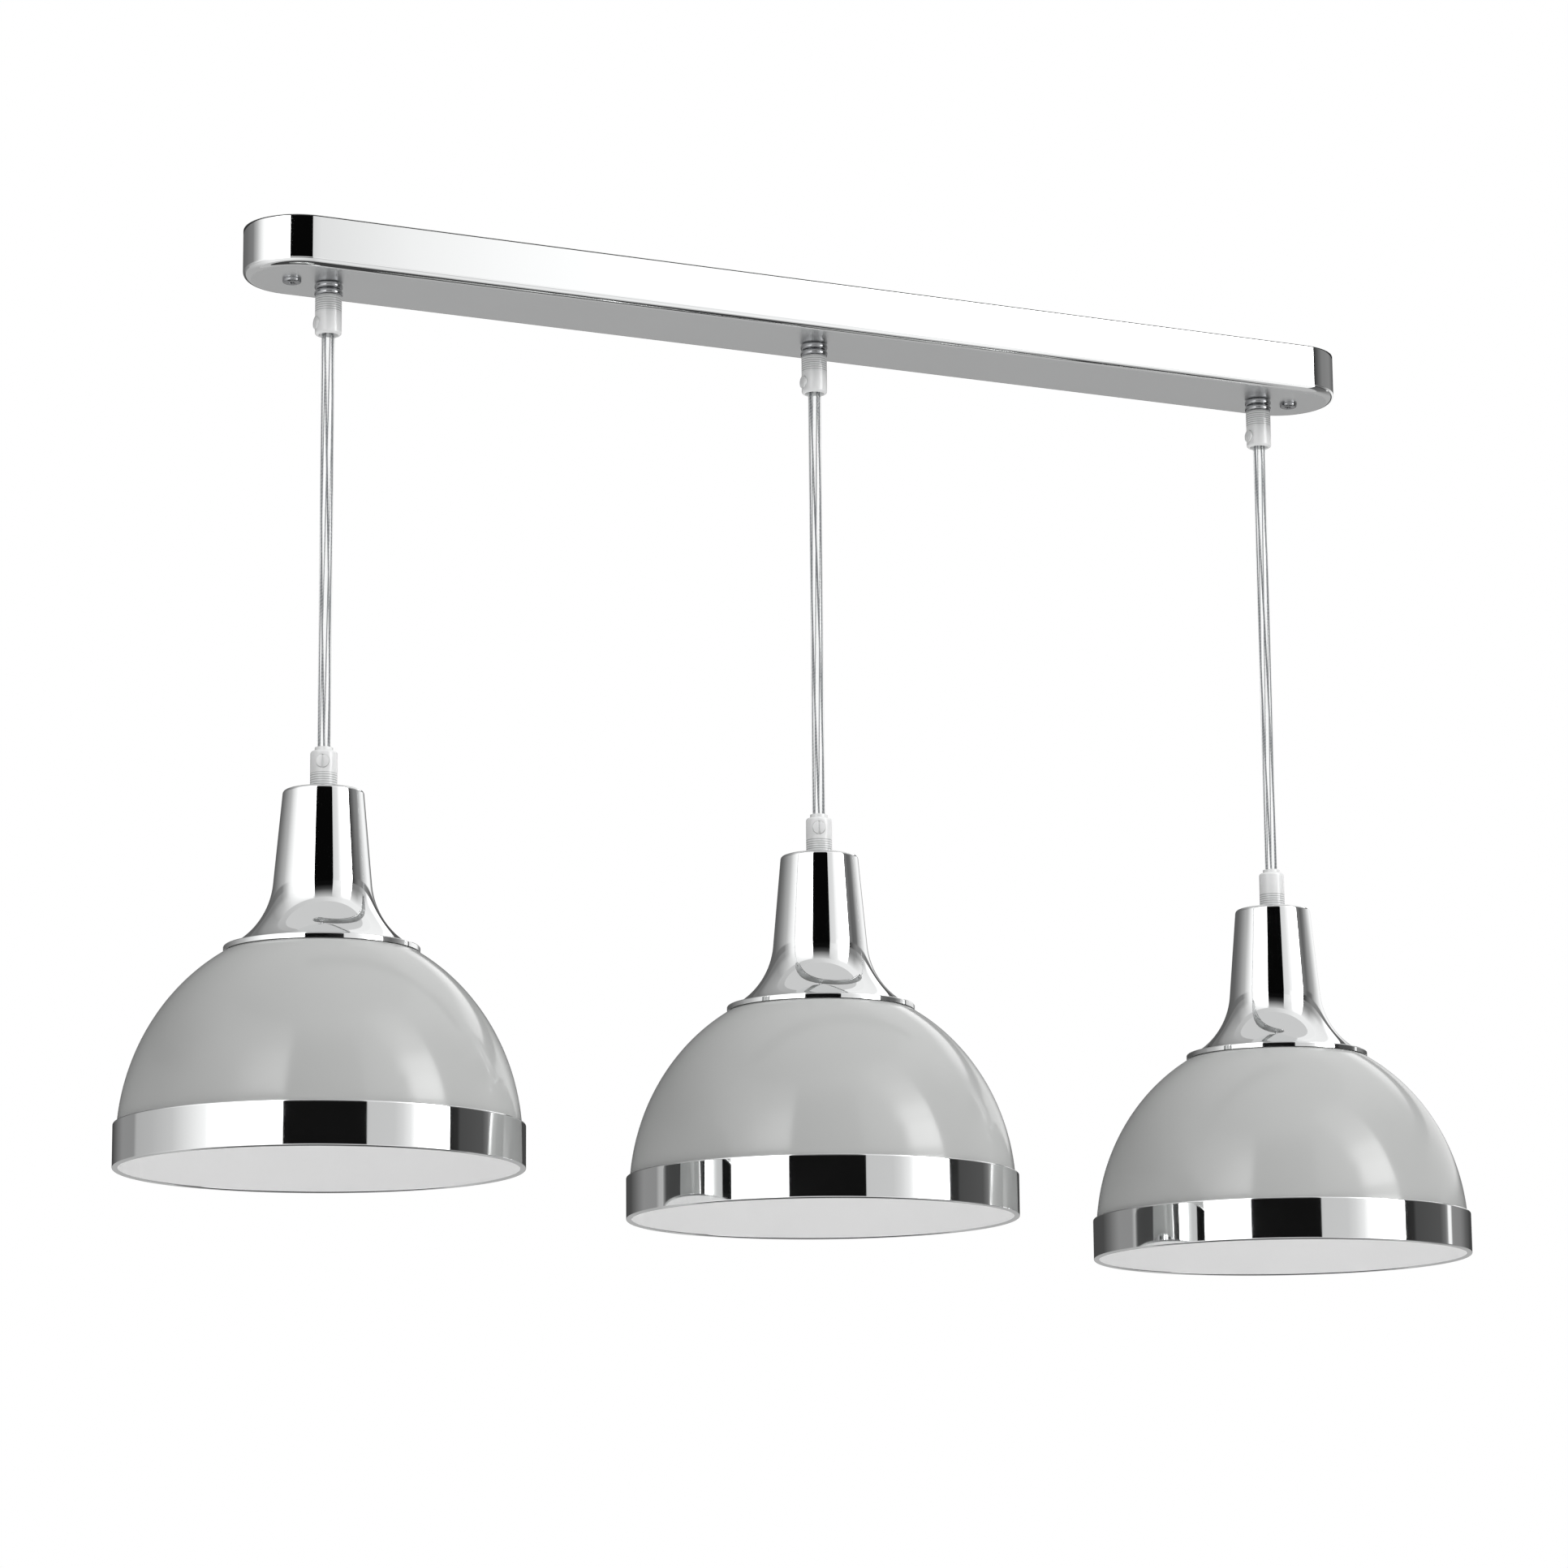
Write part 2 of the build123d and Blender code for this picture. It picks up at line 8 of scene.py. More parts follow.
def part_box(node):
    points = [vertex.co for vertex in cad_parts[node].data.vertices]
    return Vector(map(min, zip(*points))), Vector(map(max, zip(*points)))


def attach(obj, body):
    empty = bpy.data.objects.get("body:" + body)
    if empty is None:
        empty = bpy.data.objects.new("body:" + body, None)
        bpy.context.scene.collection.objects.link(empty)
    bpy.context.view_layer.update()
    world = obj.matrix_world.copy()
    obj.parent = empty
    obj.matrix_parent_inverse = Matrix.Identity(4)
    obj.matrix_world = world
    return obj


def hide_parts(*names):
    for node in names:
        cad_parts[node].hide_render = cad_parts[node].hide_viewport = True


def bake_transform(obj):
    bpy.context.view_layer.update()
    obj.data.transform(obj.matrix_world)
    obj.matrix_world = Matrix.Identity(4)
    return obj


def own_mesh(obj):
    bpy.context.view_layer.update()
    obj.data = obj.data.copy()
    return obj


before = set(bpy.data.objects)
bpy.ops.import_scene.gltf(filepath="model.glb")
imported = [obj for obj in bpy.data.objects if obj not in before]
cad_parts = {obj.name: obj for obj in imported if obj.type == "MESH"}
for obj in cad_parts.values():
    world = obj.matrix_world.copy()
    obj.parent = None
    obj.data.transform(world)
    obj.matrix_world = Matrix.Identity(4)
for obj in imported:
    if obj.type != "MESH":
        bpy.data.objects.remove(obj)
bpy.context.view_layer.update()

# Three-lamp bar pendant. Sizes are in millimetres, as in the part, and MM takes them to metres.
# Heights on the bar count from the ceiling, heights on a pendant from the top of its neck.
MM = 0.001

# Bar tray
BAR_HALF_STRAIGHT = 300.0
BAR_END_RADIUS = 30.0
BAR_HEIGHT = 27.0
BAR_WALL = 1.0
BAR_EDGE = 4.0
BAR_LIP_EDGE = 0.9
PLATE_INSET = 8.0
EXIT_PLACES = {"left": -284.0, "centre": 0.0, "right": 284.0}
EXIT_SPACING = 284.0
EXIT_HOLE = 5.0
SCREW_PLACE = 304.5
SCREW_HOLE = 2.25

# Nuts, nipples and their threads
NIPPLE_RADIUS = 4.95
NIPPLE_BORE = 3.7
NIPPLE_TOP = -19.5
NIPPLE_FOOT = -43.6
NIPPLE_REACH = 9.2
NIPPLE_PITCH = 1.25
NIPPLE_THREAD = 0.6
RING_BORE = 5.0
RING_RADIUS = 7.5
RING_HEIGHT = 3.7
RING_EDGE = 1.6

# Cords: the levels between which each stretch is its own piece
CORD_DIAMETER = 6.9
CORD_TOP = -44.0
UPPER_BEND_FOOT = -88.0
LOWER_BEND_FOOT = -130.0
CORD_FOOT_ABOVE_NECK = 9.5
CORE_LAY = 900.0
CORE_COUNT = 3
CORE_RADIUS = 1.1
STRAND_RADIUS = 0.62
BUNDLE_COUNT = 6
BUNDLE_RADIUS = 0.25
BUNDLE_CIRCLE = 1.9
LEAD_CIRCLE = 1.386

# Wiring inside the tray: where each core leaves its nipple, its lane and its pole
WIRE_LEVELS = {"left": -6.5, "centre": -9.0, "right": -11.5}
WIRE_LANES = (-18.0, -21.0, -24.0)
WIRE_START_STEP = 2.4
WIRE_POLES = (61.0, 70.0, 79.0)
WIRE_END = -5.0

# Neck
NECK_WALL = 1.0
NECK_TOP_RADIUS = 20.9
NECK_TOP_EDGE = 1.8
NECK_TAPER_DEPTH = 49.0
NECK_TAPER_RADIUS = 25.4
NECK_FLARE_DEPTH = 82.0
NECK_FLARE_ANGLE = 61.3
NECK_FOOT_LEDGE = 3.45
NECK_FOOT_HEIGHT = 2.7
NECK_FOOT_EDGE = 0.5

# Dome shade and rim band
DOME_CENTRE = -183.28
DOME_RADIUS = 103.3
DOME_RISE = 112.2
DOME_WALL = 1.0
DOME_FLAT = 28.0
DOME_HOLE = 20.2
BAND_TOP = -173.88
BAND_RADIUS = 105.0
BAND_BORE = 103.04
BAND_EDGE = 0.8
RIM_BOTTOM = -196.88
LIP_WIDTH = 3.1
LIP_TOP = -195.88
LIP_CROWN = 0.9

# Lampholder
CAP_TOP = -1.0
CAP_BOTTOM = -25.0
HUB_BOTTOM = -9.0
CAP_EDGE = 3.0
CAP_BORE = 16.4
HOLDER_RADIUS = 18.4
HOLDER_EDGE = 0.4
SPIGOT_RADIUS = 16.3
SPIGOT_TOP = -20.0
SEAT_RADIUS = 14.9
SHOULDER_RADIUS = 25.0
SHOULDER_HEIGHT = 3.0
BARREL_RADIUS = 19.75
BARREL_LENGTH = 14.0
BARREL_PITCH = 2.5
BARREL_THREAD = 0.8
SHELL_SEAT = 13.8
INSERT_RADIUS = 14.8
INSERT_TOP = -44.2
INSERT_BOTTOM = -54.2
INSERT_EDGE = 0.5
POCKET_RADIUS = 6.0
POCKET_DEPTH = 2.0
SHELL_OUTER = 13.7
SHELL_BORE = 13.2
SHELL_BOTTOM = -85.8
SHELL_PITCH = 3.63
SHELL_THREAD = 0.8
THREAD_MARGIN = 1.0

# How far the edges of the small pieces are eased
FINE_EASE = 0.1
PLATE_EASE = 0.15
NUT_EASE = 0.2
LOCK_NUT_EASE = 0.25
SHADE_RING_EASE = 0.3
BLOCK_EASE = 0.4

# The lower grips stand this far off the necks, so that the two don't share a face
FOOT_GAP = 0.03
FOOT_REACH = 0.01

# Fineness of the meshes
ROUND_STEPS = 160
HOLDER_STEPS = 96
RING_STEPS = 64
THREAD_STEPS = 48
RINGS_PER_PITCH = 8
ARC_STEPS = 6
LIP_STEPS = 16
END_STEPS = 48
TRAY_EDGE_STEPS = 12
HOLE_STEPS = 32
FLARE_STEPS = 40
DOME_STEPS = 56
CORD_SIDES = 28
WIRE_SIDES = 16
STRAND_SIDES = 12
END_ROWS = 12
END_CORE_ROWS = 16
BEND_ROWS = 24
DROP_ROWS = 90
LEAD_ROWS = 30
WIRE_ROWS = 160

# Guard points beside each rounding keep flat faces flat under smooth shading
EDGE_GUARD = 0.15
END_GUARD = 1.0
SHARP_ANGLE = radians(35)

# Copies of CAD nodes: points this near are joined, faces this flat are one, and edges this sharp are eased.
# The first solid of a row lies within its reach of the node's left end
CAD_JOIN = 0.002
FLAT_ANGLE = radians(0.2)
EASE_ANGLE = radians(50)
FIRST_REACH = 30.0

# Points of a turned piece that meet on its axis are joined
TURNED_JOIN = 0.001

# Blender's wave texture turns 20 radians for each unit of its scale
WAVE_TURN = 2 * pi / 20


# Small helpers


def linear(code):
    """Linear colour of an sRGB hex value."""
    channels = [int(code[at:at + 2], 16) / 255 for at in (1, 3, 5)]
    return [c / 12.92 if c <= 0.04045 else ((c + 0.055) / 1.055) ** 2.4 for c in channels] + [1.0]


def per_mm(size):
    """Texture scale that repeats about once in a size in millimetres."""
    return 1 / (size * MM)


def add_node(tree, kind, inputs=None, **settings):
    """Add a node with its settings; each named input gets a value, or a link from another node's output."""
    node = tree.nodes.new(kind)
    for name, value in settings.items():
        setattr(node, name, value)
    for name, value in (inputs or {}).items():
        if isinstance(value, bpy.types.NodeSocket):
            tree.links.new(value, node.inputs[name])
        else:
            node.inputs[name].default_value = value
    return node


def new_material(name, inputs):
    """Material with one principled surface; gives it with its tree, its surface and Object coordinates."""
    material = bpy.data.materials.new(name)
    material.use_nodes = True
    tree = material.node_tree
    tree.nodes.clear()
    surface = add_node(tree, "ShaderNodeBsdfPrincipled", inputs)
    add_node(tree, "ShaderNodeOutputMaterial", {"Surface": surface.outputs["BSDF"]})
    place = add_node(tree, "ShaderNodeTexCoord").outputs["Object"]
    return material, tree, surface, place


# Materials


def make_plate(name, colour, haze_size, low, high):
    # Chrome or nickel plate on steel: a cold mirror, with faint wiping haze and a trace of waviness
    material, tree, surface, place = new_material(name, {"Base Color": linear(colour), "Metallic": 1.0})
    haze = add_node(tree, "ShaderNodeTexNoise", {
        "Vector": place, "Scale": per_mm(haze_size), "Detail": 3.0})
    gloss = add_node(tree, "ShaderNodeMapRange", {
        "Value": haze.outputs["Fac"], "From Min": 0.35, "From Max": 0.7, "To Min": low, "To Max": high})
    waves = add_node(tree, "ShaderNodeTexNoise", {"Vector": place, "Scale": per_mm(45), "Detail": 1.0})
    bump = add_node(tree, "ShaderNodeBump", {
        "Height": waves.outputs["Fac"], "Strength": 0.5, "Distance": 0.05 * MM})
    tree.links.new(gloss.outputs["Result"], surface.inputs["Roughness"])
    tree.links.new(bump.outputs["Normal"], surface.inputs["Normal"])
    return material


def make_enamel(name, pale, deep, low, high):
    # Sprayed stove enamel: even colour with faint clouding, wet gloss and a fine orange-peel skin
    material, tree, surface, place = new_material(name, {"IOR": 1.52})
    cloud = add_node(tree, "ShaderNodeTexNoise", {"Vector": place, "Scale": per_mm(60), "Detail": 2.0})
    colour = add_node(tree, "ShaderNodeMix", {
        "Factor": cloud.outputs["Fac"], "A": linear(deep), "B": linear(pale)}, data_type="RGBA")
    gloss = add_node(tree, "ShaderNodeMapRange", {
        "Value": cloud.outputs["Fac"], "From Min": 0.3, "From Max": 0.7, "To Min": low, "To Max": high})
    # The peel is drawn at 3 mm, coarser than sprayed enamel has it, so that it shows at all
    peel = add_node(tree, "ShaderNodeTexNoise", {"Vector": place, "Scale": per_mm(3), "Detail": 1.0})
    bump = add_node(tree, "ShaderNodeBump", {
        "Height": peel.outputs["Fac"], "Strength": 0.4, "Distance": 0.02 * MM})
    tree.links.new(colour.outputs["Result"], surface.inputs["Base Color"])
    tree.links.new(gloss.outputs["Result"], surface.inputs["Roughness"])
    tree.links.new(bump.outputs["Normal"], surface.inputs["Normal"])
    return material


def make_clear_vinyl():
    # Clear drawn vinyl of a flex: light passes, with faint ripples along the draw
    material, tree, surface, place = new_material(
        "clear drawn vinyl", {"Base Color": linear("#FBFCFC"), "IOR": 1.45, "Transmission Weight": 1.0})
    flow = add_node(tree, "ShaderNodeTexNoise", {"Vector": place, "Scale": per_mm(6), "Detail": 2.0})
    gloss = add_node(tree, "ShaderNodeMapRange", {
        "Value": flow.outputs["Fac"], "To Min": 0.02, "To Max": 0.06})
    bump = add_node(tree, "ShaderNodeBump", {
        "Height": flow.outputs["Fac"], "Strength": 0.2, "Distance": 0.02 * MM})
    tree.links.new(gloss.outputs["Result"], surface.inputs["Roughness"])
    tree.links.new(bump.outputs["Normal"], surface.inputs["Normal"])
    return material


def make_nylon(name, lines):
    # Natural moulded nylon: milky and pale, with soft gloss.
    # Over a screw thread its turns are painted in as narrow grey lines: painted shade standing in for the
    # thread seen through the nylon
    material, tree, surface, place = new_material(name, {
        "IOR": 1.53, "Transmission Weight": 0.15, "Subsurface Weight": 0.3,
        "Subsurface Radius": (1.0, 1.0, 1.0), "Subsurface Scale": 1 * MM})
    flow = add_node(tree, "ShaderNodeTexNoise", {"Vector": place, "Scale": per_mm(6), "Detail": 2.0})
    gloss = add_node(tree, "ShaderNodeMapRange", {
        "Value": flow.outputs["Fac"], "To Min": 0.16, "To Max": 0.26})
    colour = add_node(tree, "ShaderNodeMix", {
        "Factor": flow.outputs["Fac"], "A": linear("#F4F5F5"), "B": linear("#FCFDFD")}, data_type="RGBA")
    if lines:
        turns = add_node(tree, "ShaderNodeTexWave", {
            "Vector": place, "Scale": per_mm(NIPPLE_PITCH) * WAVE_TURN}, bands_direction="Z")
        painted_thread_shade = add_node(tree, "ShaderNodeMapRange", {"Value": turns.outputs["Fac"], "From Max": 0.55})
        colour = add_node(tree, "ShaderNodeMix", {
            "Factor": painted_thread_shade.outputs["Result"], "A": linear("#B8BABB"), "B": colour.outputs["Result"]},
            data_type="RGBA")
    tree.links.new(colour.outputs["Result"], surface.inputs["Base Color"])
    tree.links.new(gloss.outputs["Result"], surface.inputs["Roughness"])
    return material


def make_strands():
    # Tinned copper strands twisted into a conductor: soft silver with slanting lines.
    # The lines stand 1.5 mm apart, wider than real strands, so that they show
    material, tree, surface, place = new_material(
        "tinned copper strands", {"Metallic": 1.0, "Roughness": 0.42})
    slant = add_node(tree, "ShaderNodeMapping", {
        "Vector": place, "Rotation": (radians(20), radians(35), 0.0)})
    lines = add_node(tree, "ShaderNodeTexWave", {
        "Vector": slant.outputs["Vector"], "Scale": per_mm(1.5) * WAVE_TURN, "Distortion": 1.0},
        bands_direction="Z")
    colour = add_node(tree, "ShaderNodeMix", {
        "Factor": lines.outputs["Fac"], "A": linear("#85878A"), "B": linear("#A6A8AA")}, data_type="RGBA")
    tree.links.new(colour.outputs["Result"], surface.inputs["Base Color"])
    return material


def make_zinc():
    # Zinc-plated sheet steel: dull silver with a faint blue cast and cloudy crystals
    material, tree, surface, place = new_material("zinc-plated steel", {"Metallic": 1.0})
    crystals = add_node(tree, "ShaderNodeTexVoronoi", {"Vector": place, "Scale": per_mm(4)})
    colour = add_node(tree, "ShaderNodeMix", {
        "Factor": crystals.outputs["Color"], "A": linear("#A9AEB3"), "B": linear("#C6CACD")},
        data_type="RGBA")
    gloss = add_node(tree, "ShaderNodeMapRange", {
        "Value": crystals.outputs["Distance"], "To Min": 0.28, "To Max": 0.45})
    tree.links.new(colour.outputs["Result"], surface.inputs["Base Color"])
    tree.links.new(gloss.outputs["Result"], surface.inputs["Roughness"])
    return material


def make_brass():
    # Pressed brass: warm yellow metal, a little brown where it has been handled
    material, tree, surface, place = new_material("pressed brass", {"Metallic": 1.0})
    stain = add_node(tree, "ShaderNodeTexNoise", {"Vector": place, "Scale": per_mm(9), "Detail": 4.0})
    colour = add_node(tree, "ShaderNodeMix", {
        "Factor": stain.outputs["Fac"], "A": linear("#B28F4A"), "B": linear("#E0C07A")}, data_type="RGBA")
    gloss = add_node(tree, "ShaderNodeMapRange", {
        "Value": stain.outputs["Fac"], "To Min": 0.4, "To Max": 0.29})
    tree.links.new(colour.outputs["Result"], surface.inputs["Base Color"])
    tree.links.new(gloss.outputs["Result"], surface.inputs["Roughness"])
    return material


def make_moulded(name, pale, deep, rough, grain, depth):
    # Moulded or fired body with a fine grain in its skin and slight clouding of its colour
    material, tree, surface, place = new_material(name, {"Roughness": rough})
    cloud = add_node(tree, "ShaderNodeTexNoise", {"Vector": place, "Scale": per_mm(12), "Detail": 3.0})
    colour = add_node(tree, "ShaderNodeMix", {
        "Factor": cloud.outputs["Fac"], "A": linear(deep), "B": linear(pale)}, data_type="RGBA")
    skin = add_node(tree, "ShaderNodeTexNoise", {"Vector": place, "Scale": per_mm(grain), "Detail": 2.0})
    bump = add_node(tree, "ShaderNodeBump", {
        "Height": skin.outputs["Fac"], "Strength": 0.4, "Distance": depth * MM})
    tree.links.new(colour.outputs["Result"], surface.inputs["Base Color"])
    tree.links.new(bump.outputs["Normal"], surface.inputs["Normal"])
    return material


chrome = make_plate("polished chrome plate", "#F6F7F7", 28, 0.025, 0.06)
hazy_chrome = make_plate("hazy chrome plate", "#F2F3F3", 60, 0.29, 0.36)
# Darker plate for the chrome ring nuts and canopy screws: partly a dark nickel look, partly painted shade
# for the dark reflections their curved faces show
dark_plate_and_painted_shade = make_plate("dark plate and painted shade", "#A6A7A9", 20, 0.06, 0.12)
satin_thread = make_plate("satin plated thread", "#F3F4F4", 1.2, 0.3, 0.5)
grey_enamel = make_enamel("grey gloss enamel", "#BABBBA", "#B6B7B6", 0.10, 0.14)
white_enamel = make_enamel("white satin enamel", "#F4F4F4", "#EFEFEF", 0.29, 0.36)
nylon = make_nylon("milky moulded nylon", False)
nylon_over_thread = make_nylon("milky nylon over a thread", True)
clear_vinyl = make_clear_vinyl()
strands = make_strands()
zinc_steel = make_zinc()
brass = make_brass()
phenolic = make_moulded("black moulded phenolic", "#1E1F21", "#141517", 0.32, 0.8, 0.03)
porcelain = make_moulded("glazed porcelain", "#F3F1EB", "#EAE7DF", 0.10, 4.0, 0.05)
white_nylon = make_moulded("white moulded nylon", "#F0F0EC", "#E6E6E1", 0.42, 0.6, 0.03)


# Mesh helpers


def new_piece(name, mesh, *materials):
    """Object at the origin from a mesh that is already in place."""
    mesh.name = name
    # Clearing an empty list would still turn every face back to the first material
    if mesh.materials:
        mesh.materials.clear()
    for material in materials:
        mesh.materials.append(material)
    piece = bpy.data.objects.new(name, mesh)
    bpy.context.scene.collection.objects.link(piece)
    return piece


def fit(piece, body, finish, *nodes):
    """Let a piece ride on its body and stand for its CAD nodes; its finish is not used."""
    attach(piece, body)
    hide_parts(*nodes)


def soften(mesh):
    """Smooth shading that keeps the real edges."""
    mesh.shade_smooth()
    mesh.set_sharp_from_angle(angle=SHARP_ANGLE)
    return mesh


def rounded(corners):
    """Closed outline through (radius, height, rounding) corners; a rounding is an arc between guards."""
    outline = []
    for index, (radius, height, rounding) in enumerate(corners):
        here = Vector((radius, height))
        if not rounding:
            outline.append(here)
            continue
        back = (Vector(corners[index - 1][:2]) - here).normalized()
        ahead = (Vector(corners[(index + 1) % len(corners)][:2]) - here).normalized()
        half = back.angle(ahead) / 2
        centre = here + (back + ahead).normalized() * rounding / sin(half)
        start = here + back * rounding / tan(half)
        arm = start - centre
        end_arm = here + ahead * rounding / tan(half) - centre
        sweep = copysign(pi - 2 * half, arm.x * end_arm.y - arm.y * end_arm.x)
        outline.append(start + back * EDGE_GUARD)
        turns = [sweep * step / ARC_STEPS for step in range(ARC_STEPS + 1)]
        outline += [centre + Matrix.Rotation(turn, 2) @ arm for turn in turns]
        outline.append(centre + end_arm + ahead * EDGE_GUARD)
    return outline


def turned(outline, steps=ROUND_STEPS, x=0.0, level=0.0, inner_from=None):
    """Lathe a closed (radius, height) outline in mm about an upright axis; level is in metres.

    Faces from the outline's point inner_from onwards get the second material.
    """
    edit = bmesh.new()
    rings = []
    for step in range(steps):
        across, along = cos(2 * pi * step / steps) * MM, sin(2 * pi * step / steps) * MM
        rings.append([edit.verts.new((r * across, r * along, z * MM)) for r, z in outline])
    count = len(outline)
    for step, ring in enumerate(rings):
        after = rings[(step + 1) % steps]
        for at in range(count):
            face = edit.faces.new((ring[at], after[at], after[(at + 1) % count], ring[(at + 1) % count]))
            if inner_from is not None and at >= inner_from:
                face.material_index = 1
    bmesh.ops.remove_doubles(edit, verts=edit.verts, dist=TURNED_JOIN * MM)
    bmesh.ops.recalc_face_normals(edit, faces=edit.faces)
    bmesh.ops.translate(edit, verts=edit.verts, vec=(x * MM, 0.0, level))
    mesh = bpy.data.meshes.new("turned")
    edit.to_mesh(mesh)
    edit.free()
    return soften(mesh)


def cad_copy(node, ease=0.0, first_only=False):
    """Copy of a CAD node with its triangles joined and its edges eased; first_only keeps its left solid."""
    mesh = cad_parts[node].data.copy()
    edit = bmesh.new()
    edit.from_mesh(mesh)
    bmesh.ops.remove_doubles(edit, verts=edit.verts, dist=CAD_JOIN * MM)
    if first_only:
        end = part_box(node)[0][0] + FIRST_REACH * MM
        spare = [vert for vert in edit.verts if vert.co.x > end]
        bmesh.ops.delete(edit, geom=spare, context="VERTS")
    bmesh.ops.dissolve_limit(edit, angle_limit=FLAT_ANGLE, verts=edit.verts, edges=edit.edges)
    if ease:
        edges = [e for e in edit.edges if e.is_manifold and e.calc_face_angle() > EASE_ANGLE]
        bmesh.ops.bevel(edit, geom=edges, offset=ease * MM, segments=2, profile=0.5,
                        affect="EDGES", clamp_overlap=True)
    edit.to_mesh(mesh)
    edit.free()
    return soften(mesh)


# Geometry node trees


def new_tree(name, inputs):
    """Geometry node tree with named inputs; gives the tree and its input sockets by name."""
    tree = bpy.data.node_groups.new(name, "GeometryNodeTree")
    tree.interface.new_socket(name="Geometry", in_out="INPUT", socket_type="NodeSocketGeometry")
    for label, kind in inputs.items():
        tree.interface.new_socket(name=label, in_out="INPUT", socket_type="NodeSocket" + kind)
    tree.interface.new_socket(name="Geometry", in_out="OUTPUT", socket_type="NodeSocketGeometry")
    return tree, add_node(tree, "NodeGroupInput").outputs


def end_tree(tree, geometry, material):
    """Close a tree with real geometry in its material."""
    real = add_node(tree, "GeometryNodeRealizeInstances", {"Geometry": geometry})
    finished = add_node(tree, "GeometryNodeSetMaterial", {
        "Geometry": real.outputs["Geometry"], "Material": material})
    add_node(tree, "NodeGroupOutput", {"Geometry": finished.outputs["Geometry"]})
    return tree


def make_rows_tree():
    """Copies of a piece in columns along one step and rows along another."""
    tree, given = new_tree("copies in rows", {
        "Columns": "Int", "Column step": "Vector", "Rows": "Int", "Row step": "Vector",
        "Material": "Material"})
    columns = add_node(tree, "GeometryNodeMeshLine", {
        "Count": given["Columns"], "Offset": given["Column step"]})
    rows = add_node(tree, "GeometryNodeMeshLine", {
        "Count": given["Rows"], "Offset": given["Row step"]})
    grid = add_node(tree, "GeometryNodeInstanceOnPoints", {
        "Points": columns.outputs["Mesh"], "Instance": rows.outputs["Mesh"]})
    places = add_node(tree, "GeometryNodeRealizeInstances", {"Geometry": grid.outputs["Instances"]})
    copies = add_node(tree, "GeometryNodeInstanceOnPoints", {
        "Points": places.outputs["Geometry"], "Instance": given["Geometry"]})
    return end_tree(tree, copies.outputs["Instances"], given["Material"])


def make_thread_tree():
    """Screw thread pressed into the wall of a turned piece, between two levels and beyond a radius.

    The groove is a wave that climbs one pitch in each turn round the axis.
    """
    tree, given = new_tree("screw thread", {
        "Pitch": "Float", "Depth": "Float", "Beyond radius": "Float", "Low": "Float", "High": "Float",
        "Material": "Material"})
    place = add_node(tree, "GeometryNodeInputPosition").outputs["Position"]
    parts = add_node(tree, "ShaderNodeSeparateXYZ", {"Vector": place}).outputs
    flat = add_node(tree, "ShaderNodeCombineXYZ", {"X": parts["X"], "Y": parts["Y"]})
    angle = add_node(tree, "ShaderNodeMath", {
        0: parts["Y"], 1: parts["X"]}, operation="ARCTAN2")
    rise = add_node(tree, "ShaderNodeMath", {
        0: parts["Z"], 1: given["Pitch"]}, operation="DIVIDE")
    round_rise = add_node(tree, "ShaderNodeMath", {
        0: rise.outputs[0], 1: 2 * pi}, operation="MULTIPLY")
    phase = add_node(tree, "ShaderNodeMath", {
        0: round_rise.outputs[0], 1: angle.outputs[0]}, operation="SUBTRACT")
    wave = add_node(tree, "ShaderNodeMath", {0: phase.outputs[0]}, operation="COSINE")
    groove = add_node(tree, "ShaderNodeMath", {
        0: wave.outputs[0], 1: 0.5, 2: -0.5}, operation="MULTIPLY_ADD")
    depth = add_node(tree, "ShaderNodeMath", {
        0: groove.outputs[0], 1: given["Depth"]}, operation="MULTIPLY")
    reach = add_node(tree, "ShaderNodeVectorMath", {0: flat.outputs[0]}, operation="LENGTH")
    outside = add_node(tree, "ShaderNodeMath", {
        0: reach.outputs["Value"], 1: given["Beyond radius"]}, operation="GREATER_THAN")
    above = add_node(tree, "ShaderNodeMath", {
        0: parts["Z"], 1: given["Low"]}, operation="GREATER_THAN")
    below = add_node(tree, "ShaderNodeMath", {
        0: parts["Z"], 1: given["High"]}, operation="LESS_THAN")
    between = add_node(tree, "ShaderNodeMath", {
        0: above.outputs[0], 1: below.outputs[0]}, operation="MULTIPLY")
    chosen = add_node(tree, "ShaderNodeMath", {
        0: outside.outputs[0], 1: between.outputs[0]}, operation="MULTIPLY")
    push = add_node(tree, "ShaderNodeMath", {
        0: depth.outputs[0], 1: chosen.outputs[0]}, operation="MULTIPLY")
    outward = add_node(tree, "ShaderNodeVectorMath", {0: flat.outputs[0]}, operation="NORMALIZE")
    shift = add_node(tree, "ShaderNodeVectorMath", {
        0: outward.outputs["Vector"], "Scale": push.outputs[0]}, operation="SCALE")
    pressed = add_node(tree, "GeometryNodeSetPosition", {
        "Geometry": given["Geometry"], "Offset": shift.outputs["Vector"]})
    return end_tree(tree, pressed.outputs["Geometry"], given["Material"])


def make_sheath_tree():
    """Round sheath along a route."""
    tree, given = new_tree("round sheath", {
        "Radius": "Float", "Sides": "Int", "Rows": "Int", "Material": "Material"})
    line = add_node(tree, "GeometryNodeResampleCurve", {"Curve": given["Geometry"], "Count": given["Rows"]})
    section = add_node(tree, "GeometryNodeCurvePrimitiveCircle", {
        "Resolution": given["Sides"], "Radius": given["Radius"]})
    skin = add_node(tree, "GeometryNodeCurveToMesh", {
        "Curve": line.outputs["Curve"], "Profile Curve": section.outputs["Curve"]})
    return end_tree(tree, skin.outputs["Mesh"], given["Material"])


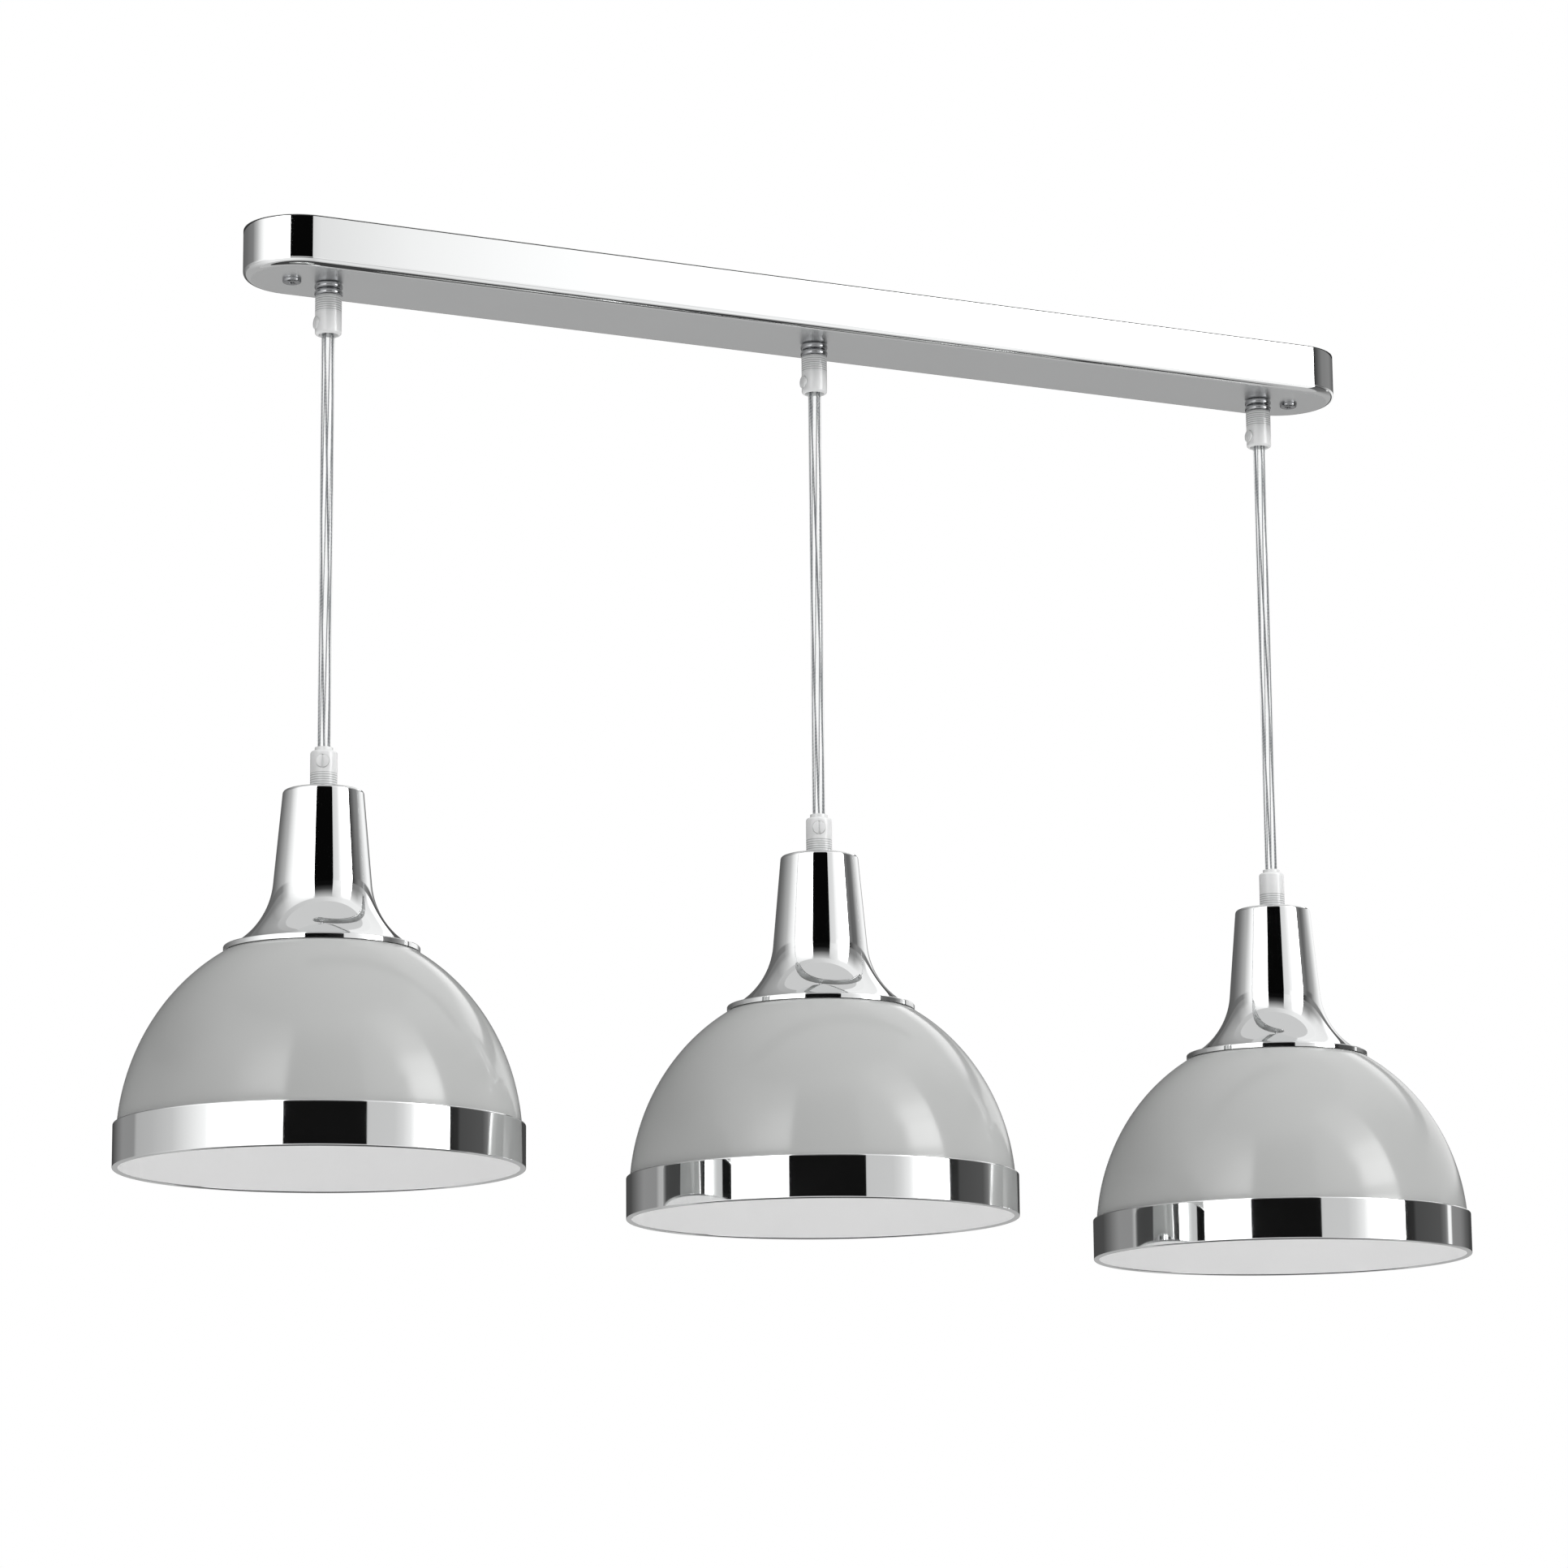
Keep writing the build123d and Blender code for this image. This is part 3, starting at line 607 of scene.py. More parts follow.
def make_cores_tree():
    """Cores laid round an upright route in a long twist that depends only on the height."""
    tree, given = new_tree("laid cores", {
        "Cores": "Int", "Lay radius": "Float", "Lay length": "Float", "Radius": "Float", "Sides": "Int",
        "Rows": "Int", "Material": "Material"})
    line = add_node(tree, "GeometryNodeResampleCurve", {"Curve": given["Geometry"], "Count": given["Rows"]})
    copies = add_node(tree, "GeometryNodeDuplicateElements", {
        "Geometry": line.outputs["Curve"], "Amount": given["Cores"]}, domain="SPLINE")
    share = add_node(tree, "ShaderNodeMath", {
        0: copies.outputs["Duplicate Index"], 1: given["Cores"]}, operation="DIVIDE")
    place = add_node(tree, "GeometryNodeInputPosition").outputs["Position"]
    height = add_node(tree, "ShaderNodeSeparateXYZ", {"Vector": place}).outputs["Z"]
    turns = add_node(tree, "ShaderNodeMath", {0: height, 1: given["Lay length"]}, operation="DIVIDE")
    total = add_node(tree, "ShaderNodeMath", {0: turns.outputs[0], 1: share.outputs[0]}, operation="ADD")
    angle = add_node(tree, "ShaderNodeMath", {0: total.outputs[0], 1: 2 * pi}, operation="MULTIPLY")
    across = add_node(tree, "ShaderNodeMath", {0: angle.outputs[0]}, operation="COSINE")
    along = add_node(tree, "ShaderNodeMath", {0: angle.outputs[0]}, operation="SINE")
    round_axis = add_node(tree, "ShaderNodeCombineXYZ", {"X": across.outputs[0], "Y": along.outputs[0]})
    shift = add_node(tree, "ShaderNodeVectorMath", {
        0: round_axis.outputs[0], "Scale": given["Lay radius"]}, operation="SCALE")
    laid = add_node(tree, "GeometryNodeSetPosition", {
        "Geometry": copies.outputs["Geometry"], "Offset": shift.outputs["Vector"]})
    section = add_node(tree, "GeometryNodeCurvePrimitiveCircle", {
        "Resolution": given["Sides"], "Radius": given["Radius"]})
    skin = add_node(tree, "GeometryNodeCurveToMesh", {
        "Curve": laid.outputs["Geometry"], "Profile Curve": section.outputs["Curve"]})
    return end_tree(tree, skin.outputs["Mesh"], given["Material"])


rows_tree = make_rows_tree()
thread_tree = make_thread_tree()
sheath_tree = make_sheath_tree()
cores_tree = make_cores_tree()


def grown(tree, source, values):
    """Plain mesh that a node tree makes of a mesh or a route."""
    holder = bpy.data.objects.new("holder", source)
    bpy.context.scene.collection.objects.link(holder)
    modifier = holder.modifiers.new("nodes", "NODES")
    modifier.node_group = tree
    for item in tree.interface.items_tree:
        if item.in_out == "INPUT" and item.name in values:
            modifier[item.identifier] = values[item.name]
    evaluated = holder.evaluated_get(bpy.context.evaluated_depsgraph_get())
    mesh = bpy.data.meshes.new_from_object(evaluated)
    bpy.data.objects.remove(holder)
    edit = bmesh.new()
    edit.from_mesh(mesh)
    bmesh.ops.recalc_face_normals(edit, faces=edit.faces)
    edit.to_mesh(mesh)
    edit.free()
    return soften(mesh)


def in_rows(source, material, columns, column_step, rows=1, row_step=(0, 0, 0)):
    """Copies of a mesh along the bar, with the steps in mm."""
    return grown(rows_tree, source, {
        "Columns": columns, "Column step": [step * MM for step in column_step],
        "Rows": rows, "Row step": [step * MM for step in row_step], "Material": material})


def threaded(source, material, pitch, depth, beyond, low, high):
    """A turned mesh on the origin's axis with a screw thread pressed into it, sizes in mm."""
    return grown(thread_tree, source, {
        "Pitch": pitch * MM, "Depth": depth * MM, "Beyond radius": beyond * MM,
        "Low": low * MM, "High": high * MM, "Material": material})


def set_down(mesh, x, level):
    """Move a mesh made on the origin's axis to a pendant; x is in mm and level in metres."""
    mesh.transform(Matrix.Translation((x * MM, 0.0, level)))
    return mesh


def wall(radius, top, bottom, pitch):
    """Points down a wall, fine enough to carry a thread."""
    count = max(2, round((top - bottom) / pitch * RINGS_PER_PITCH))
    return [(radius, top + (bottom - top) * at / count) for at in range(count + 1)]


def routes(lines):
    """Smooth NURBS lines with the routes' points, in mm, as their control points."""
    data = bpy.data.curves.new("routes", "CURVE")
    data.dimensions = "3D"
    for line in lines:
        spline = data.splines.new("NURBS")
        spline.points.add(len(line) - 1)
        for point, place in zip(spline.points, line):
            point.co = (*(Vector(place) * MM), 1.0)
        spline.order_u = 3
        spline.use_endpoint_u = True
    return data


def read_path(route):
    """Points of a route's own smooth line."""
    holder = bpy.data.objects.new("holder", route)
    bpy.context.scene.collection.objects.link(holder)
    evaluated = holder.evaluated_get(bpy.context.evaluated_depsgraph_get())
    mesh = bpy.data.meshes.new_from_object(evaluated)
    points = [tuple(vert.co) for vert in mesh.vertices]
    bpy.data.objects.remove(holder)
    bpy.data.meshes.remove(mesh)
    return points


def sheathed(route, radius, rows, material, sides=CORD_SIDES):
    """Mesh of a round sheath along a route, its radius in mm."""
    return grown(sheath_tree, route, {
        "Radius": radius * MM, "Sides": sides, "Rows": rows, "Material": material})


def laid(route, count, lay_radius, radius, rows, material):
    """Mesh of cores laid round a route, sizes in mm."""
    return grown(cores_tree, route, {
        "Cores": count, "Lay radius": lay_radius * MM, "Lay length": CORE_LAY * MM,
        "Radius": radius * MM, "Sides": STRAND_SIDES, "Rows": rows, "Material": material})


# Camera, at the angle of the photograph

CAMERA_PLACE = Vector((-1.103, -2.300, -0.782))
CAMERA_YAW = radians(25.2)
CAMERA_PITCH = radians(11.25)
CAMERA_ROLL = radians(-0.51)
CAMERA_LENS = 109.94
CAMERA_FRAME = 36.0

level_ahead = Vector((sin(CAMERA_YAW), cos(CAMERA_YAW), 0.0))
ahead = level_ahead * cos(CAMERA_PITCH) + Vector((0.0, 0.0, sin(CAMERA_PITCH)))
level_right = Vector((cos(CAMERA_YAW), -sin(CAMERA_YAW), 0.0))
level_up = level_right.cross(ahead)
right = level_right * cos(CAMERA_ROLL) + level_up * sin(CAMERA_ROLL)
up = level_up * cos(CAMERA_ROLL) - level_right * sin(CAMERA_ROLL)
camera_data = bpy.data.cameras.new("camera")
camera_data.lens = CAMERA_LENS
camera_data.sensor_width = CAMERA_FRAME
camera = bpy.data.objects.new("camera", camera_data)
camera_turn = Matrix((right, up, -ahead)).transposed().to_4x4()
camera.matrix_world = Matrix.Translation(CAMERA_PLACE) @ camera_turn
bpy.context.scene.collection.objects.link(camera)
bpy.context.scene.camera = camera


# Bar tray and what is fixed to it


def stadium(inset, height):
    """Points round the tray at an inset, with a guard on the straights beside each round end."""
    radius = BAR_END_RADIUS - inset
    points = []
    for side in (1, -1):
        turn = 0 if side > 0 else pi
        points.append((side * (BAR_HALF_STRAIGHT - END_GUARD), -side * radius, height))
        for step in range(END_STEPS + 1):
            angle = turn - pi / 2 + pi * step / END_STEPS
            points.append((side * BAR_HALF_STRAIGHT + radius * cos(angle), radius * sin(angle), height))
        points.append((side * (BAR_HALF_STRAIGHT - END_GUARD), side * radius, height))
    return points


def make_tray_mesh():
    """Folded tray: rings of its section, and a floor with holes for the cords and screws."""
    floor = -BAR_HEIGHT
    inner_edge = BAR_EDGE - BAR_WALL
    edge_level = floor + BAR_EDGE
    turns = [pi / 2 * step / TRAY_EDGE_STEPS for step in range(TRAY_EDGE_STEPS + 1)]
    section = [(PLATE_INSET, floor), (BAR_EDGE + EDGE_GUARD, floor)]
    section += [(BAR_EDGE - BAR_EDGE * sin(a), edge_level - BAR_EDGE * cos(a)) for a in turns]
    section += [(0, edge_level + EDGE_GUARD), (0, -BAR_LIP_EDGE - EDGE_GUARD)]
    lip = [(BAR_LIP_EDGE * (1 - cos(a)), BAR_LIP_EDGE * (sin(a) - 1)) for a in turns[::2]]
    section += lip + [(BAR_WALL, BAR_LIP_EDGE - BAR_WALL), (BAR_WALL, edge_level + EDGE_GUARD)]
    section += [(BAR_EDGE - inner_edge * sin(a), edge_level - inner_edge * cos(a)) for a in reversed(turns)]
    section += [(BAR_EDGE + EDGE_GUARD, floor + BAR_WALL), (PLATE_INSET, floor + BAR_WALL)]
    edit = bmesh.new()
    rings = [[edit.verts.new(Vector(point) * MM) for point in stadium(*corner)] for corner in section]
    count = len(rings[0])
    for ring, after in zip(rings, rings[1:]):
        for at in range(count):
            edit.faces.new((ring[at], ring[(at + 1) % count], after[(at + 1) % count], after[at]))
    band_of_floor = list(edit.faces)[:count]
    holes = [(place, EXIT_HOLE) for place in EXIT_PLACES.values()]
    holes += [(-SCREW_PLACE, SCREW_HOLE), (SCREW_PLACE, SCREW_HOLE)]
    for ring, height in ((rings[0], floor), (rings[-1], floor + BAR_WALL)):
        loops = [ring]
        for place, radius in holes:
            angles = [2 * pi * step / HOLE_STEPS for step in range(HOLE_STEPS)]
            points = [Vector((place + radius * cos(a), radius * sin(a), height)) for a in angles]
            loops.append([edit.verts.new(point * MM) for point in points])
        edges = []
        for loop in loops:
            for at, vert in enumerate(loop):
                after = loop[(at + 1) % len(loop)]
                edges.append(edit.edges.get((vert, after)) or edit.edges.new((vert, after)))
        filled = bmesh.ops.triangle_fill(edit, edges=edges, use_beauty=True)
        if height == floor:
            lower_loops = loops[1:]
            underside = [face for face in filled["geom"] if isinstance(face, bmesh.types.BMFace)]
        else:
            for low, high in zip(lower_loops, loops[1:]):
                for at in range(len(low)):
                    after = (at + 1) % len(low)
                    edit.faces.new((low[at], low[after], high[after], high[at]))
    for face in underside + band_of_floor:
        face.material_index = 1
    bmesh.ops.recalc_face_normals(edit, faces=edit.faces)
    mesh = bpy.data.meshes.new("tray")
    edit.to_mesh(mesh)
    edit.free()
    return soften(mesh)


tray = new_piece("chrome_bar_tray", make_tray_mesh(), chrome, hazy_chrome)
fit(tray, "canopy", "chrome_plate", "bar_tray")

bracket = new_piece("steel_ceiling_bracket", cad_copy("ceiling_bracket", PLATE_EASE), zinc_steel)
fit(bracket, "canopy", "zinc_steel", "ceiling_bracket")

along_screws = (2 * SCREW_PLACE, 0, 0)
# The canopy screws take the darker plate: painted shade for their dark reflections
screw_row = in_rows(cad_copy("canopy_screws", PLATE_EASE, True), dark_plate_and_painted_shade, 2, along_screws)
canopy_screws = new_piece("darkened_canopy_screws", screw_row, dark_plate_and_painted_shade)
fit(canopy_screws, "canopy", "chrome_plate", "canopy_screws")
nut_row = in_rows(cad_copy("bracket_nuts", NUT_EASE, True), zinc_steel, 2, along_screws)
fit(new_piece("steel_bracket_nuts", nut_row, zinc_steel), "canopy", "zinc_steel", "bracket_nuts")

block = new_piece("nylon_terminal_block", cad_copy("terminal_block", BLOCK_EASE), white_nylon)
fit(block, "canopy", "white_nylon", "terminal_block")
terminal_screws = new_piece("steel_terminal_screws", cad_copy("terminal_screws", FINE_EASE), zinc_steel)
fit(terminal_screws, "canopy", "zinc_steel", "terminal_screws")
earth_screw = new_piece("brass_earth_screw", cad_copy("earth_screw", FINE_EASE), brass)
fit(earth_screw, "canopy", "brass", "earth_screw")

along_exits = (EXIT_SPACING, 0, 0)
first_exit = EXIT_PLACES["left"]
ring_outline = rounded([
    (RING_BORE, -RING_HEIGHT, 0), (RING_RADIUS, -RING_HEIGHT, RING_EDGE), (RING_RADIUS, 0, RING_EDGE),
    (RING_BORE, 0, 0)])
ring_nut = turned(ring_outline, RING_STEPS, first_exit, -BAR_HEIGHT * MM)
# The ring nuts take the darker plate: painted shade for their dark reflections
ring_nuts = in_rows(ring_nut, dark_plate_and_painted_shade, 3, along_exits, 2, (0, 0, -RING_HEIGHT))
fit(new_piece("darkened_ring_nuts", ring_nuts, dark_plate_and_painted_shade), "canopy", "chrome_plate", "exit_ring_nuts")
lock_nuts = in_rows(cad_copy("exit_lock_nuts", LOCK_NUT_EASE, True), zinc_steel, 3, along_exits)
fit(new_piece("steel_lock_nuts", lock_nuts, zinc_steel), "canopy", "zinc_steel", "exit_lock_nuts")

exit_outline = wall(NIPPLE_RADIUS, NIPPLE_TOP, NIPPLE_FOOT, NIPPLE_PITCH)
exit_outline += [(NIPPLE_BORE, NIPPLE_FOOT), (NIPPLE_BORE, NIPPLE_TOP)]
exit_nipple = threaded(turned(exit_outline, THREAD_STEPS), satin_thread, NIPPLE_PITCH, NIPPLE_THREAD,
                       (NIPPLE_RADIUS + NIPPLE_BORE) / 2, NIPPLE_FOOT, NIPPLE_TOP)
nipple_row = in_rows(set_down(exit_nipple, first_exit, 0), satin_thread, 3, along_exits)
exit_nipples = new_piece("plated_exit_nipples", nipple_row, satin_thread)
fit(exit_nipples, "canopy", "chrome_plate", "exit_nipples")


def cord_grip(node, body, thread_low, thread_high, foot_gap=0.0):
    """Nylon grip whose faces between two heights in mm carry painted grey lines, painted shade for the
    thread inside.

    foot_gap lifts its lowest face.
    """
    mesh = cad_copy(node, NUT_EASE)
    mesh.materials.clear()
    edit = bmesh.new()
    edit.from_mesh(mesh)
    foot = min(vert.co.z for vert in edit.verts)
    for vert in edit.verts:
        if vert.co.z < foot + FOOT_REACH * MM:
            vert.co.z += foot_gap * MM
    for height in (thread_low, thread_high):
        bmesh.ops.bisect_plane(edit, geom=edit.verts[:] + edit.edges[:] + edit.faces[:],
                               plane_co=(0, 0, height * MM), plane_no=(0, 0, 1))
    for face in edit.faces:
        if thread_low * MM < face.calc_center_median().z < thread_high * MM:
            face.material_index = 1
    edit.to_mesh(mesh)
    edit.free()
    fit(new_piece(f"nylon_{node}", soften(mesh), nylon, nylon_over_thread), body, "clear_nylon", node)


for side in EXIT_PLACES:
    cord_grip(f"{side}_upper_grip", "canopy", NIPPLE_FOOT, -BAR_HEIGHT - 2 * RING_HEIGHT)
clamp_row = in_rows(cad_copy("upper_grip_screws", FINE_EASE, True), nylon, 3, along_exits)
upper_screws = new_piece("nylon_upper_grip_screws", clamp_row, nylon)
fit(upper_screws, "canopy", "clear_nylon", "upper_grip_screws")


# Wiring inside the tray, and the fixed end of each cord in its nipple

stub_routes = []
wire_routes = []
for side, exit_x in EXIT_PLACES.items():
    stub_levels = (NIPPLE_TOP, (NIPPLE_TOP + CORD_TOP) / 2, CORD_TOP)
    stub_routes.append([(exit_x, 0, height) for height in stub_levels])
    towards = 1 if exit_x < WIRE_POLES[1] else -1
    height = WIRE_LEVELS[side]
    for at, lane in enumerate(WIRE_LANES):
        start = exit_x + towards * (1 - at) * WIRE_START_STEP
        pole = WIRE_POLES[at if towards > 0 else 2 - at]
        wire_routes.append([
            (start, 0, NIPPLE_TOP), (start, 0, height), (start, lane, height),
            (start - towards * lane, lane, height), (pole - towards * (WIRE_END - lane), lane, height),
            (pole, lane, height), (pole, WIRE_END, height)])

end_sheaths = sheathed(routes(stub_routes), CORD_DIAMETER / 2, END_ROWS, clear_vinyl)
end_cores = laid(routes(stub_routes), BUNDLE_COUNT, BUNDLE_CIRCLE, BUNDLE_RADIUS, END_CORE_ROWS, strands)
wire_skins = sheathed(routes(wire_routes), CORE_RADIUS, WIRE_ROWS, clear_vinyl, WIRE_SIDES)
wire_strands = sheathed(routes(wire_routes), STRAND_RADIUS, WIRE_ROWS, strands, STRAND_SIDES)
for name, mesh, material in (
        ("clear_cord_ends", end_sheaths, clear_vinyl), ("tinned_cord_end_cores", end_cores, strands),
        ("clear_wire_insulation", wire_skins, clear_vinyl), ("tinned_wire_strands", wire_strands, strands)):
    fit(new_piece(name, mesh, material), "canopy", "clear_vinyl", "canopy_wiring")


# Outlines of the turned pieces of a pendant


def neck_outline():
    """Tapered neck whose flare is an arc that runs on from the taper, down to a ledge and a short foot."""
    taper = atan2(NECK_TAPER_RADIUS - NECK_TOP_RADIUS, NECK_TAPER_DEPTH)
    flare_end = radians(NECK_FLARE_ANGLE)
    flare = (NECK_FLARE_DEPTH - NECK_TAPER_DEPTH) / (sin(flare_end) - sin(taper))
    centre_r = NECK_TAPER_RADIUS + flare * cos(taper)
    centre_z = -NECK_TAPER_DEPTH + flare * sin(taper)
    inner_flare = flare + NECK_WALL
    foot_under = NECK_FLARE_DEPTH + NECK_WALL
    inner_end = asin((foot_under + centre_z) / inner_flare)
    foot = centre_r - flare * cos(flare_end) + NECK_FOOT_LEDGE
    height = NECK_FLARE_DEPTH + NECK_FOOT_HEIGHT
    inner_top = NECK_TOP_RADIUS + NECK_WALL * (sin(taper) - 1) / cos(taper)

    def sweep(radius, start, end):
        turns = [start + (end - start) * step / FLARE_STEPS for step in range(FLARE_STEPS + 1)]
        return [(centre_r - radius * cos(turn), centre_z - radius * sin(turn), 0) for turn in turns]

    return rounded(
        [(EXIT_HOLE, -NECK_WALL, 0), (EXIT_HOLE, 0, 0), (NECK_TOP_RADIUS, 0, NECK_TOP_EDGE)]
        + sweep(flare, taper, flare_end)
        + [(foot, -NECK_FLARE_DEPTH, NECK_FOOT_EDGE), (foot, -height, 0), (foot - NECK_WALL, -height, 0),
           (foot - NECK_WALL, -foot_under, 0)]
        + sweep(inner_flare, inner_end, taper)
        + [(inner_top, -NECK_WALL, NECK_TOP_EDGE - NECK_WALL)])


def ellipse_run(x_radius, z_radius, top, bottom):
    """Points down an upright ellipse about the dome's centre, between two heights."""
    start = asin((top - DOME_CENTRE) / z_radius)
    end = asin((bottom - DOME_CENTRE) / z_radius)
    turns = [start + (end - start) * step / DOME_STEPS for step in range(DOME_STEPS + 1)]
    return [(x_radius * cos(turn), DOME_CENTRE + z_radius * sin(turn)) for turn in turns]


DOME_TOP = DOME_CENTRE + DOME_RISE * sqrt(1 - (DOME_FLAT / DOME_RADIUS) ** 2)
HOLDER_BOTTOM = DOME_TOP - BARREL_LENGTH


def dome_outline():
    """Outline of the dome, and the number of its points that are on the outside."""
    outer = [(DOME_HOLE, DOME_TOP), (DOME_FLAT - EDGE_GUARD, DOME_TOP)]
    outer += ellipse_run(DOME_RADIUS, DOME_RISE, DOME_TOP, BAND_TOP)
    outer += [(outer[-1][0], BAND_TOP - EDGE_GUARD), (outer[-1][0], LIP_TOP)]
    inner = ellipse_run(DOME_RADIUS - DOME_WALL, DOME_RISE - DOME_WALL, BAND_TOP, DOME_TOP - DOME_WALL)
    inner = [(inner[0][0], LIP_TOP), (inner[0][0], BAND_TOP - EDGE_GUARD)] + inner
    inner += [(DOME_HOLE, DOME_TOP - DOME_WALL)]
    return outer + inner, len(outer) - 1


def band_outline():
    """Rim band whose lip is rolled in, with a half-round underside."""
    middle = BAND_RADIUS - LIP_WIDTH / 2
    turns = [pi * step / LIP_STEPS for step in range(LIP_STEPS + 1)]
    roll = [(middle + LIP_WIDTH / 2 * cos(a), RIM_BOTTOM + LIP_CROWN * (1 - sin(a)), 0) for a in turns]
    return rounded([
        (BAND_BORE, LIP_TOP, 0), (BAND_BORE, BAND_TOP, 0), (BAND_RADIUS, BAND_TOP, BAND_EDGE),
        (BAND_RADIUS, RIM_BOTTOM + LIP_CROWN + EDGE_GUARD, 0)]
        + roll + [(BAND_RADIUS - LIP_WIDTH, LIP_TOP, 0)])


def cap_outline():
    """Cap of the lampholder, with a hub for the nipple."""
    return rounded([
        (EXIT_HOLE, HUB_BOTTOM, 0), (EXIT_HOLE, CAP_TOP, 0), (HOLDER_RADIUS, CAP_TOP, CAP_EDGE),
        (HOLDER_RADIUS, CAP_BOTTOM, HOLDER_EDGE), (CAP_BORE, CAP_BOTTOM, 0), (CAP_BORE, HUB_BOTTOM, 0)])


def holder_outline():
    """Body of the lampholder: spigot for the cap, shoulder on the dome and barrel for the shade ring."""
    shoulder = DOME_TOP + SHOULDER_HEIGHT
    return (
        rounded([
            (SEAT_RADIUS, INSERT_BOTTOM, 0), (SEAT_RADIUS, SPIGOT_TOP, 0),
            (SPIGOT_RADIUS, SPIGOT_TOP, HOLDER_EDGE), (SPIGOT_RADIUS, CAP_BOTTOM, 0),
            (HOLDER_RADIUS, CAP_BOTTOM, HOLDER_EDGE), (HOLDER_RADIUS, shoulder, 0),
            (SHOULDER_RADIUS, shoulder, HOLDER_EDGE), (SHOULDER_RADIUS, DOME_TOP, 0)])
        + wall(BARREL_RADIUS, DOME_TOP, HOLDER_BOTTOM, BARREL_PITCH)
        + [(SHELL_SEAT, HOLDER_BOTTOM), (SHELL_SEAT, INSERT_BOTTOM)])


def insert_outline():
    """Solid insert with a pocket for the centre contact."""
    pocket_top = INSERT_BOTTOM + POCKET_DEPTH
    return rounded([
        (0, pocket_top, 0), (POCKET_RADIUS, pocket_top, 0), (POCKET_RADIUS, INSERT_BOTTOM, INSERT_EDGE),
        (INSERT_RADIUS, INSERT_BOTTOM, INSERT_EDGE), (INSERT_RADIUS, INSERT_TOP, INSERT_EDGE),
        (0, INSERT_TOP, 0)])


# The three pendants


def upright(x, top, bottom):
    """Straight route down a cord's axis, in mm."""
    return routes([[(x, 0, top), (x, 0, (top + bottom) / 2), (x, 0, bottom)]])


def make_stretch(side, label, x, top, bottom, rows):
    """One stretch of a cord: its sheath, its cores and the points that it follows."""
    skin = sheathed(upright(x, top, bottom), CORD_DIAMETER / 2, rows, clear_vinyl)
    sheath = new_piece(f"{side}_{label}", skin, clear_vinyl)
    bundle = laid(upright(x, top, bottom), BUNDLE_COUNT, BUNDLE_CIRCLE, BUNDLE_RADIUS, rows, strands)
    cores = new_piece(f"{side}_{label}_cores", bundle, strands)
    return sheath, cores, read_path(upright(x, top, bottom))


def hang_cord(side, x, foot):
    """Cord of a pendant in three stretches: two bends left where they are, and a drop that rides on the
    cord's body.
    """
    sheath, cores, path = make_stretch(side, "cord_upper_bend", x, CORD_TOP, UPPER_BEND_FOOT, BEND_ROWS)
    for piece in (sheath, cores):
        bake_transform(piece)
    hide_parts(f"{side}_cord_link")

    sheath, cores, path = make_stretch(
        side, "cord_lower_bend", x, UPPER_BEND_FOOT, LOWER_BEND_FOOT, BEND_ROWS)
    for piece in (sheath, cores):
        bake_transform(piece)
    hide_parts(f"{side}_cord_link", f"{side}_cord")

    sheath, cores, path = make_stretch(side, "cord_drop", x, LOWER_BEND_FOOT, foot, DROP_ROWS)
    for piece in (sheath, cores):
        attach(piece, f"{side}_cord_body")
        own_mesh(piece)
    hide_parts(f"{side}_cord")


def fit_neck_and_shade(side, x, top):
    """Nipple, neck, dome and rim band of a pendant; top is the top of its neck, in metres."""
    body = f"{side}_pendant"
    outline = wall(NIPPLE_RADIUS, NIPPLE_REACH, HUB_BOTTOM, NIPPLE_PITCH)
    outline += [(NIPPLE_BORE, HUB_BOTTOM), (NIPPLE_BORE, NIPPLE_REACH)]
    nipple = threaded(turned(outline, THREAD_STEPS), satin_thread, NIPPLE_PITCH, NIPPLE_THREAD,
                      (NIPPLE_RADIUS + NIPPLE_BORE) / 2, HUB_BOTTOM, NIPPLE_REACH)
    piece = new_piece(f"{side}_plated_nipple", set_down(nipple, x, top), satin_thread)
    fit(piece, body, "chrome_plate", f"{side}_nipple")
    piece = new_piece(f"{side}_chrome_neck", turned(neck_outline(), ROUND_STEPS, x, top), chrome)
    fit(piece, body, "chrome_plate", f"{side}_neck")
    outline, outer_count = dome_outline()
    dome = turned(outline, ROUND_STEPS, x, top, outer_count)
    piece = new_piece(f"{side}_enamel_dome", dome, grey_enamel, white_enamel)
    fit(piece, body, "grey_enamel", f"{side}_dome_shade")
    piece = new_piece(f"{side}_chrome_rim_band", turned(band_outline(), ROUND_STEPS, x, top), chrome)
    fit(piece, body, "chrome_plate", f"{side}_rim_band")


